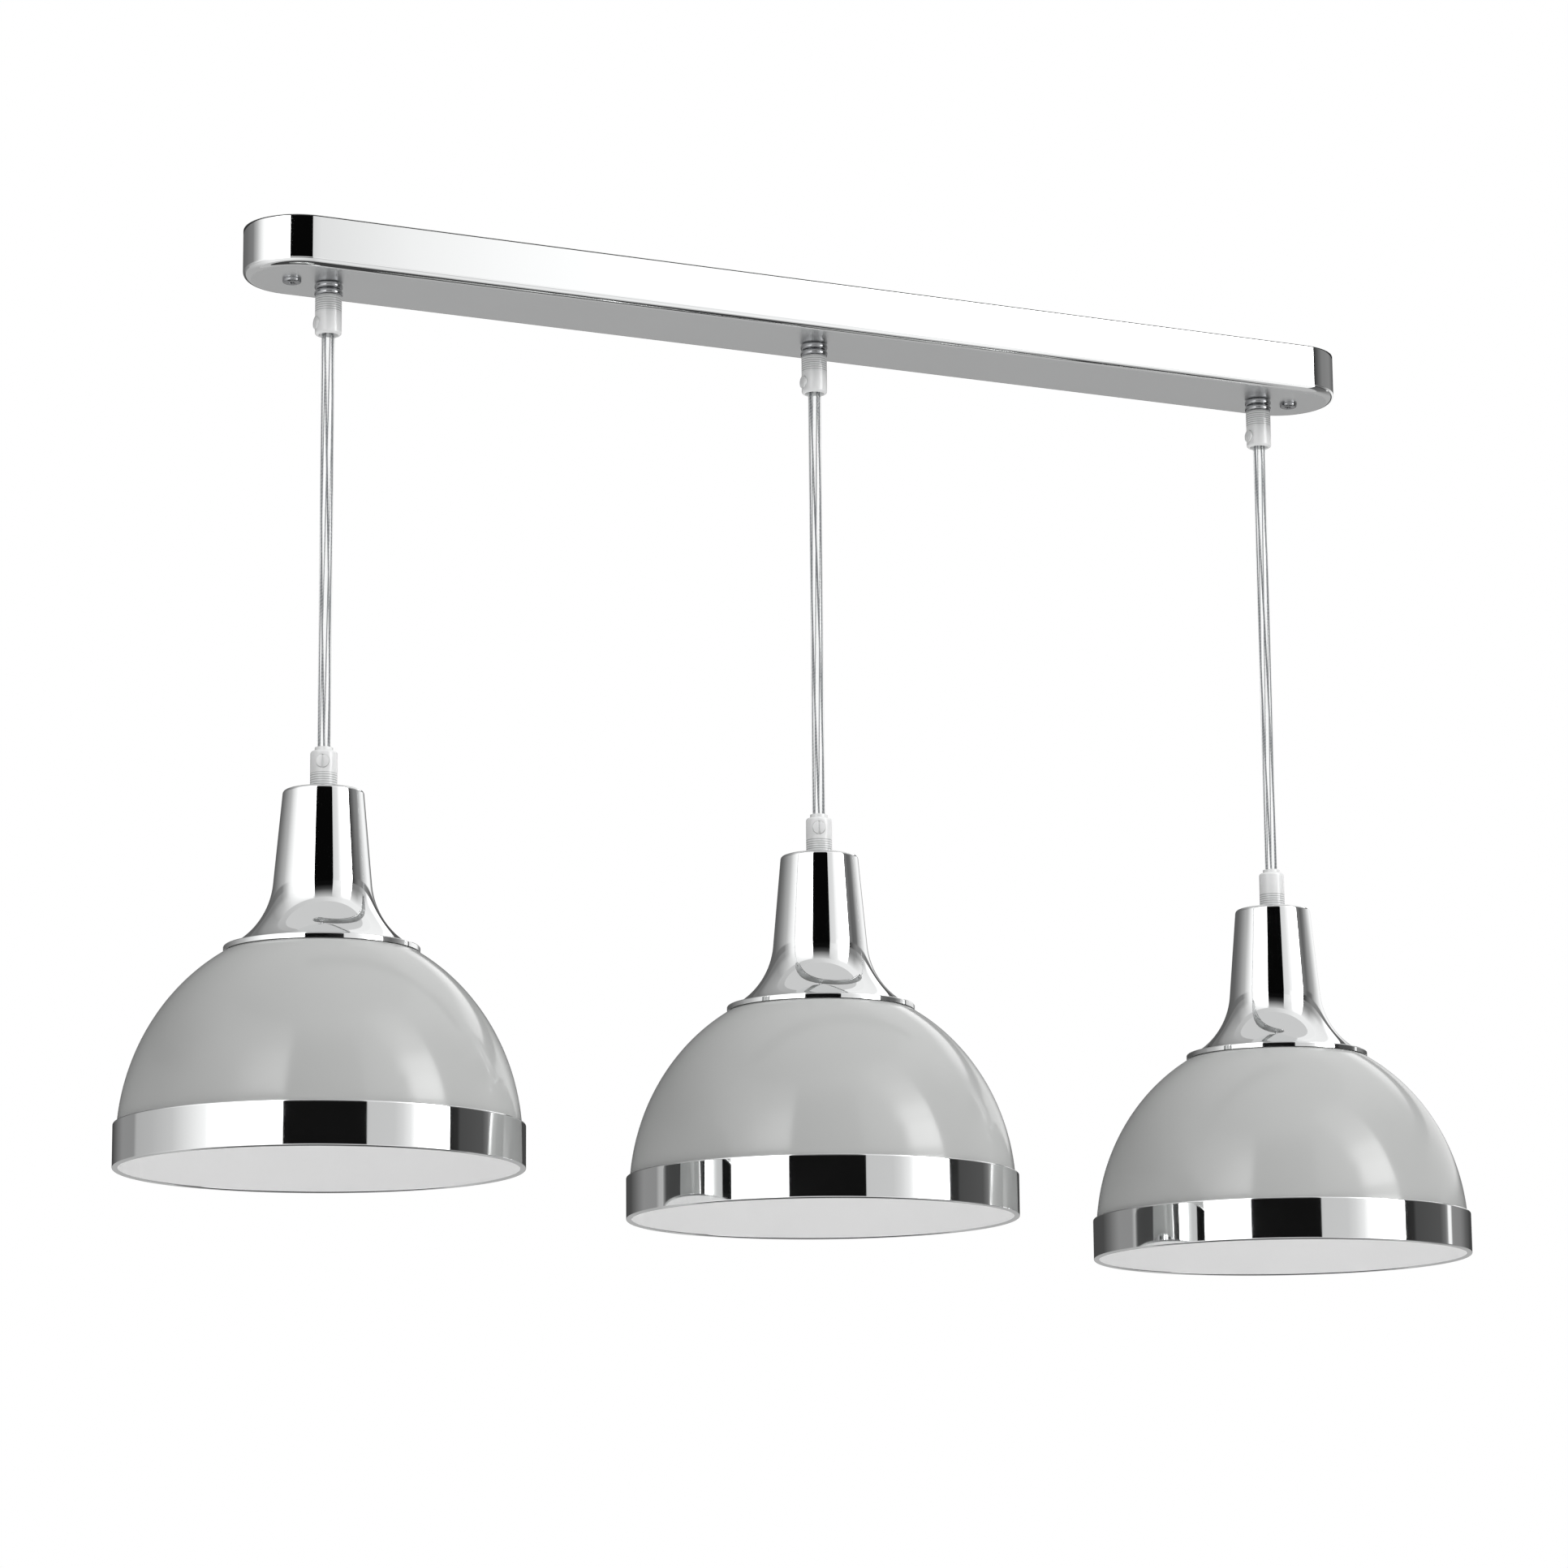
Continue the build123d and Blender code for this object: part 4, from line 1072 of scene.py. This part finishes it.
def fit_lampholder(side, x, top):
    """Cap, body, insert, screw shell, contact and shade ring of a lampholder."""
    body = f"{side}_pendant"
    piece = new_piece(f"{side}_phenolic_cap", turned(cap_outline(), HOLDER_STEPS, x, top), phenolic)
    fit(piece, body, "black_phenolic", f"{side}_holder_cap")
    holder = threaded(turned(holder_outline(), HOLDER_STEPS), phenolic, BARREL_PITCH, BARREL_THREAD,
                      (BARREL_RADIUS + SHELL_SEAT) / 2, HOLDER_BOTTOM, DOME_TOP - DOME_WALL)
    piece = new_piece(f"{side}_phenolic_holder", set_down(holder, x, top), phenolic)
    fit(piece, body, "black_phenolic", f"{side}_holder_body")
    piece = new_piece(f"{side}_porcelain_insert", turned(insert_outline(), HOLDER_STEPS, x, top), porcelain)
    fit(piece, body, "porcelain", f"{side}_holder_insert")
    outline = wall(SHELL_OUTER, INSERT_BOTTOM, SHELL_BOTTOM, SHELL_PITCH)
    outline += wall(SHELL_BORE, SHELL_BOTTOM, INSERT_BOTTOM, -SHELL_PITCH)
    shell = threaded(turned(outline, HOLDER_STEPS), brass, SHELL_PITCH, SHELL_THREAD, 0,
                     SHELL_BOTTOM - THREAD_MARGIN, INSERT_BOTTOM + THREAD_MARGIN)
    piece = new_piece(f"{side}_brass_screw_shell", set_down(shell, x, top), brass)
    fit(piece, body, "brass", f"{side}_screw_shell")
    piece = new_piece(f"{side}_brass_tip_contact", cad_copy(f"{side}_tip_contact"), brass)
    fit(piece, body, "brass", f"{side}_tip_contact")
    ring = cad_copy(f"{side}_shade_ring", SHADE_RING_EASE)
    piece = new_piece(f"{side}_phenolic_shade_ring", ring, phenolic)
    fit(piece, body, "black_phenolic", f"{side}_shade_ring")


def fit_leads(side, x, top):
    """The cord's cores, from the grip down to the lampholder."""
    route_ends = (top / MM + NIPPLE_REACH, top / MM + INSERT_TOP)
    skins = laid(upright(x, *route_ends), CORE_COUNT, LEAD_CIRCLE, CORE_RADIUS, LEAD_ROWS, clear_vinyl)
    piece = new_piece(f"{side}_clear_lead_insulation", skins, clear_vinyl)
    fit(piece, f"{side}_pendant", "clear_vinyl", f"{side}_holder_leads")
    wires = laid(upright(x, *route_ends), CORE_COUNT, LEAD_CIRCLE, STRAND_RADIUS, LEAD_ROWS, strands)
    piece = new_piece(f"{side}_tinned_lead_strands", wires, strands)
    fit(piece, f"{side}_pendant", "clear_vinyl", f"{side}_holder_leads")


for side, exit_x in EXIT_PLACES.items():
    neck_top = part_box(f"{side}_neck")[1][2]
    neck_level = neck_top / MM
    hang_cord(side, exit_x, neck_level + CORD_FOOT_ABOVE_NECK)
    cord_grip(f"{side}_lower_grip", f"{side}_grip", neck_level, neck_level + NIPPLE_REACH, FOOT_GAP)
    clamp = cad_copy(f"{side}_lower_grip_screw", FINE_EASE)
    clamp_screw = new_piece(f"{side}_nylon_lower_grip_screw", clamp, nylon)
    fit(clamp_screw, f"{side}_grip", "clear_nylon", f"{side}_lower_grip_screw")
    fit_neck_and_shade(side, exit_x, neck_top)
    fit_lampholder(side, exit_x, neck_top)
    fit_leads(side, exit_x, neck_top)


# Studio: white surroundings, soft lamps, a pale floor, and cards that only the gloss sees

FILL_LEVEL = 0.55

scene = bpy.context.scene
scene.view_settings.view_transform = "Standard"


def seen_by_eye(tree):
    """1 for what the camera, the gloss and clear pieces see, and 0 for light that falls on a surface."""
    rays = add_node(tree, "ShaderNodeLightPath").outputs
    direct = add_node(tree, "ShaderNodeMath", {
        0: rays["Is Camera Ray"], 1: rays["Is Glossy Ray"]}, operation="MAXIMUM")
    either = add_node(tree, "ShaderNodeMath", {
        0: direct.outputs[0], 1: rays["Is Transmission Ray"]}, operation="MAXIMUM")
    return either.outputs[0]


world = bpy.data.worlds.new("studio")
world.use_nodes = True
world_tree = world.node_tree
world_tree.nodes.clear()
fill = add_node(world_tree, "ShaderNodeBackground", {"Color": linear("#FFFFFF"), "Strength": FILL_LEVEL})
white = add_node(world_tree, "ShaderNodeBackground", {"Color": linear("#FFFFFF"), "Strength": 1.0})
surroundings = add_node(world_tree, "ShaderNodeMixShader", {
    0: seen_by_eye(world_tree), 1: fill.outputs["Background"], 2: white.outputs["Background"]})
add_node(world_tree, "ShaderNodeOutputWorld", {"Surface": surroundings.outputs["Shader"]})
scene.world = world

LOOK_AT = Vector((0.0, 0.0, -0.35))
TOWARDS_CAMERA = Vector((-sin(CAMERA_YAW), -cos(CAMERA_YAW), 0.0))


def around(angle, distance, height):
    """Place round the object: the angle is from the camera's direction, to the camera's right."""
    turn = radians(angle)
    return (TOWARDS_CAMERA * cos(turn) + level_right * sin(turn)) * distance + Vector((0, 0, height))


def add_lamp(name, angle, distance, height, size, power):
    """Soft square lamp round the object that shines at its middle and isn't seen itself."""
    data = bpy.data.lights.new(name, "AREA")
    data.size = size
    data.energy = power
    lamp = bpy.data.objects.new(name, data)
    lamp.location = around(angle, distance, height)
    lamp.rotation_euler = (LOOK_AT - lamp.location).to_track_quat("-Z", "Y").to_euler()
    lamp.visible_camera = False
    lamp.visible_glossy = False
    scene.collection.objects.link(lamp)


add_lamp("right key", angle=55, distance=2.4, height=2.4, size=1.4, power=80)
add_lamp("left key", angle=-50, distance=2.4, height=1.2, size=1.4, power=5)
add_lamp("light from below", angle=0, distance=0.0, height=-2.35, size=5.0, power=60)


def level_at(stops, angle):
    """Level between (angle, level) stops."""
    for (before, low), (after, high) in zip(stops, stops[1:]):
        if before <= angle <= after:
            return low + (high - low) * (angle - before) / (after - before)
    return stops[-1][1]


def show_in_gloss_only(name, edit, glow):
    """Turn a mesh with one level for each corner into a glowing card that only reflections see."""
    mesh = bpy.data.meshes.new(name)
    edit.to_mesh(mesh)
    edit.free()
    mesh.attributes.new("glow", "FLOAT", "POINT").data.foreach_set("value", glow)
    mesh.materials.append(card_paint)
    card = bpy.data.objects.new(name, mesh)
    scene.collection.objects.link(card)
    card.visible_camera = False
    card.visible_diffuse = False
    card.visible_transmission = False
    card.visible_shadow = False


card_paint = bpy.data.materials.new("studio card")
card_paint.use_nodes = True
card_tree = card_paint.node_tree
card_tree.nodes.clear()
glow_level = add_node(card_tree, "ShaderNodeAttribute", attribute_name="glow")
card_light = add_node(card_tree, "ShaderNodeEmission", {"Strength": glow_level.outputs["Fac"]})
add_node(card_tree, "ShaderNodeOutputMaterial", {"Surface": card_light.outputs["Emission"]})

# Studio wall by height in metres: levels at angles from the camera's direction, to its right.
# A black card faces the object, with a softbox at each side of it and a darker room behind.
# The gap row and the low row, which the flat front of the bar mirrors when it is seen level or from well
# above, have no black card
LOW_ROOM = [
    (-180, 0.42), (-120, 0.42), (-100, 0.5), (-60, 0.9), (-20, 0.9), (27, 0.65), (56, 1.0),
    (76.5, 1.0), (77, 0.1), (110, 0.15), (140, 0.42), (180, 0.42)]
SHADE_ROOM = [
    (-180, 0.06), (-150, 0.07), (-140, 0.14), (-127, 0.27), (-112, 0.27), (-109, 0.44), (-95, 0.48),
    (-80, 0.58), (-70, 0.78), (-60, 1.0), (-50, 1.6), (-40, 2.6), (-25, 3.5), (-19.7, 3.5),
    (-19.2, 0.006), (24, 0.006), (24.5, 0.58), (40, 0.6), (45, 0.7), (50, 0.88), (54, 1.2),
    (57, 6.5), (76.5, 6.5), (77, 0.02), (83, 0.03), (85, 0.07), (105, 0.09), (110, 0.17),
    (112, 0.3), (113.5, 1.0), (116, 1.0), (117.5, 0.26), (128, 0.23), (138, 0.12), (148, 0.06),
    (180, 0.06)]
NECK_ROOM = [
    (-180, 0.1), (-142, 0.13), (-125, 0.2), (-112, 0.3), (-94, 0.48), (-80, 0.85), (-70, 1.1),
    (-50, 1.4), (-40, 2.5), (-25, 3.3), (-19.7, 3.3), (-19.2, 0.002), (24, 0.002), (24.5, 0.72),
    (38, 0.82), (44, 0.98), (50, 1.15), (57, 6.0), (76.5, 6.0), (77, 0.22), (90, 0.12), (102, 0.15),
    (112, 0.4), (125, 0.7), (140, 1.0), (155, 1.0), (165, 0.35), (180, 0.1)]
BAR_ROOM = [
    (-180, 0.1), (-125, 0.15), (-100, 0.22), (-88, 0.5), (-76, 0.95), (-70, 1.1), (-50, 1.4),
    (-40, 2.5), (-25, 3.3), (-19.7, 3.3), (-19.2, 0.002), (24, 0.002), (24.5, 0.7), (38, 0.8),
    (40.3, 0.95), (42.7, 1.04), (50, 1.2), (57, 6.0), (76.5, 6.0), (77, 0.03), (84, 0.08),
    (100, 0.22), (125, 0.25), (150, 0.12), (180, 0.06)]
GAP_ROOM = [
    (-180, 0.1), (-142, 0.13), (-125, 0.2), (-112, 0.3), (-94, 0.48), (-80, 0.85), (-60, 1.1),
    (-40, 1.3), (-19.7, 1.1), (24.5, 0.8), (50, 1.1), (57, 3.0), (76.5, 3.0), (77, 0.22),
    (90, 0.15), (112, 0.4), (125, 0.7), (140, 1.0), (155, 1.0), (165, 0.35), (180, 0.1)]
GLAZE_ROOM = [
    (-180, 0.15), (-125, 0.2), (-100, 0.3), (-88, 0.5), (-76, 0.95), (-50, 1.4), (-25, 3.0),
    (-19.7, 3.0), (-19.2, 0.004), (24, 0.004), (24.5, 0.75), (45, 1.0), (57, 5.0), (76.5, 5.0),
    (77, 0.2), (100, 0.25), (125, 0.6), (140, 1.6), (170, 1.8), (180, 0.8)]
HIGH_ROOM = [
    (-180, 0.3), (-120, 0.3), (-95, 0.5), (-75, 0.9), (-50, 1.3), (-25, 1.7), (-19.7, 1.7),
    (-19.2, 0.05), (24, 0.05), (24.5, 0.75), (45, 0.9), (57, 2.2), (76.5, 2.2), (77, 0.4),
    (95, 0.35), (115, 0.8), (180, 0.95)]
TOP_ROOM = [
    (-180, 0.4), (-120, 0.4), (-75, 0.8), (-25, 1.0), (-19.2, 0.55), (24, 0.55), (30, 0.7),
    (57, 1.0), (90, 0.9), (180, 0.95)]
OPEN_ROOM = [
    (-180, 0.4), (-60, 0.6), (0, 0.65), (60, 0.9), (180, 0.9)]
WALL_ROWS = [
    (-2.3, LOW_ROOM), (-0.44, LOW_ROOM), (-0.36, SHADE_ROOM), (-0.1, SHADE_ROOM),
    (0.0, NECK_ROOM), (0.04, NECK_ROOM), (0.09, GAP_ROOM), (0.26, GAP_ROOM),
    (0.34, NECK_ROOM), (0.5, NECK_ROOM), (0.58, BAR_ROOM), (0.84, BAR_ROOM),
    (0.9, GLAZE_ROOM), (1.2, GLAZE_ROOM), (1.6, HIGH_ROOM), (2.6, TOP_ROOM),
    (2.75, OPEN_ROOM), (3.6, OPEN_ROOM)]
WALL_DISTANCE = 2.5
CEILING_HEIGHT = 3.6
CEILING_LEVEL = 0.62
FLOOR_CARD_HEIGHT = -2.3
FLOOR_CARD_RADIUS = 1.6
FLOOR_CARD_LEVEL = 0.05
OUTER_CARD_HEIGHT = -2.31
OUTER_CARD_LEVEL = 0.5
LIP_CARD_HEIGHT = 1.2
LIP_CARD_WIDTH = 5.0
LIP_CARD_LEVEL = 0.03
FLOOR_HEIGHT = -3.6
FLOOR_RADIUS = 40.0
FLOOR_GLOW = 0.8
WALL_STEP = 4
CARD_SIDES = 48
FLOOR_SIDES = 96


def disc(radius, height, sides):
    """Flat round card at a height in metres."""
    edit = bmesh.new()
    bmesh.ops.create_circle(edit, cap_ends=True, segments=sides, radius=radius)
    bmesh.ops.translate(edit, verts=edit.verts, vec=(0, 0, height))
    return edit


wall_angles = {angle for height, stops in WALL_ROWS for angle, level in stops}
wall_angles = sorted(wall_angles | set(range(-180, 181, WALL_STEP)))
wall_edit = bmesh.new()
wall_glow = []
wall_rows = []
for height, stops in WALL_ROWS:
    wall_rows.append([wall_edit.verts.new(around(angle, WALL_DISTANCE, height)) for angle in wall_angles])
    wall_glow += [level_at(stops, angle) for angle in wall_angles]
for row, above in zip(wall_rows, wall_rows[1:]):
    for at in range(len(wall_angles) - 1):
        wall_edit.faces.new((row[at], row[at + 1], above[at + 1], above[at]))
show_in_gloss_only("studio wall", wall_edit, wall_glow)

for name, height, radius, level in (
        ("studio ceiling", CEILING_HEIGHT, WALL_DISTANCE, CEILING_LEVEL),
        ("studio floor card", FLOOR_CARD_HEIGHT, FLOOR_CARD_RADIUS, FLOOR_CARD_LEVEL),
        ("studio outer floor card", OUTER_CARD_HEIGHT, WALL_DISTANCE, OUTER_CARD_LEVEL)):
    card_edit = disc(radius, height, CARD_SIDES)
    show_in_gloss_only(name, card_edit, [level] * len(card_edit.verts))

# Dark strip round the top of the tray, in place of the ceiling, so that its lip shows as a line
strip_edit = bmesh.new()
strip_inner, strip_outer = [
    [strip_edit.verts.new(Vector(point) * MM) for point in stadium(inset, LIP_CARD_HEIGHT)]
    for inset in (0.0, -LIP_CARD_WIDTH)]
for at in range(len(strip_inner)):
    after = (at + 1) % len(strip_inner)
    strip_edit.faces.new((strip_inner[at], strip_inner[after], strip_outer[after], strip_outer[at]))
show_in_gloss_only("ceiling strip", strip_edit, [LIP_CARD_LEVEL] * len(strip_edit.verts))

# Matt white floor: the eye sees it nearly white, and it keeps a soft shadow
floor_paint, floor_tree, floor_surface, _ = new_material(
    "pale studio floor", {"Base Color": linear("#F4F4F4"), "Roughness": 0.8})
floor_share = add_node(floor_tree, "ShaderNodeMath", {
    0: seen_by_eye(floor_tree), 1: FLOOR_GLOW}, operation="MULTIPLY")
floor_glow = add_node(floor_tree, "ShaderNodeEmission", {"Color": linear("#FFFFFF"), "Strength": 1.0})
floor_mixed = add_node(floor_tree, "ShaderNodeMixShader", {
    0: floor_share.outputs[0], 1: floor_surface.outputs["BSDF"], 2: floor_glow.outputs["Emission"]})
floor_output = next(node for node in floor_tree.nodes if node.type == "OUTPUT_MATERIAL")
floor_tree.links.new(floor_mixed.outputs["Shader"], floor_output.inputs["Surface"])
floor_edit = disc(FLOOR_RADIUS, FLOOR_HEIGHT, FLOOR_SIDES)
floor_mesh = bpy.data.meshes.new("floor")
floor_edit.to_mesh(floor_mesh)
floor_edit.free()
floor_mesh.materials.append(floor_paint)
floor = bpy.data.objects.new("floor", floor_mesh)
scene.collection.objects.link(floor)
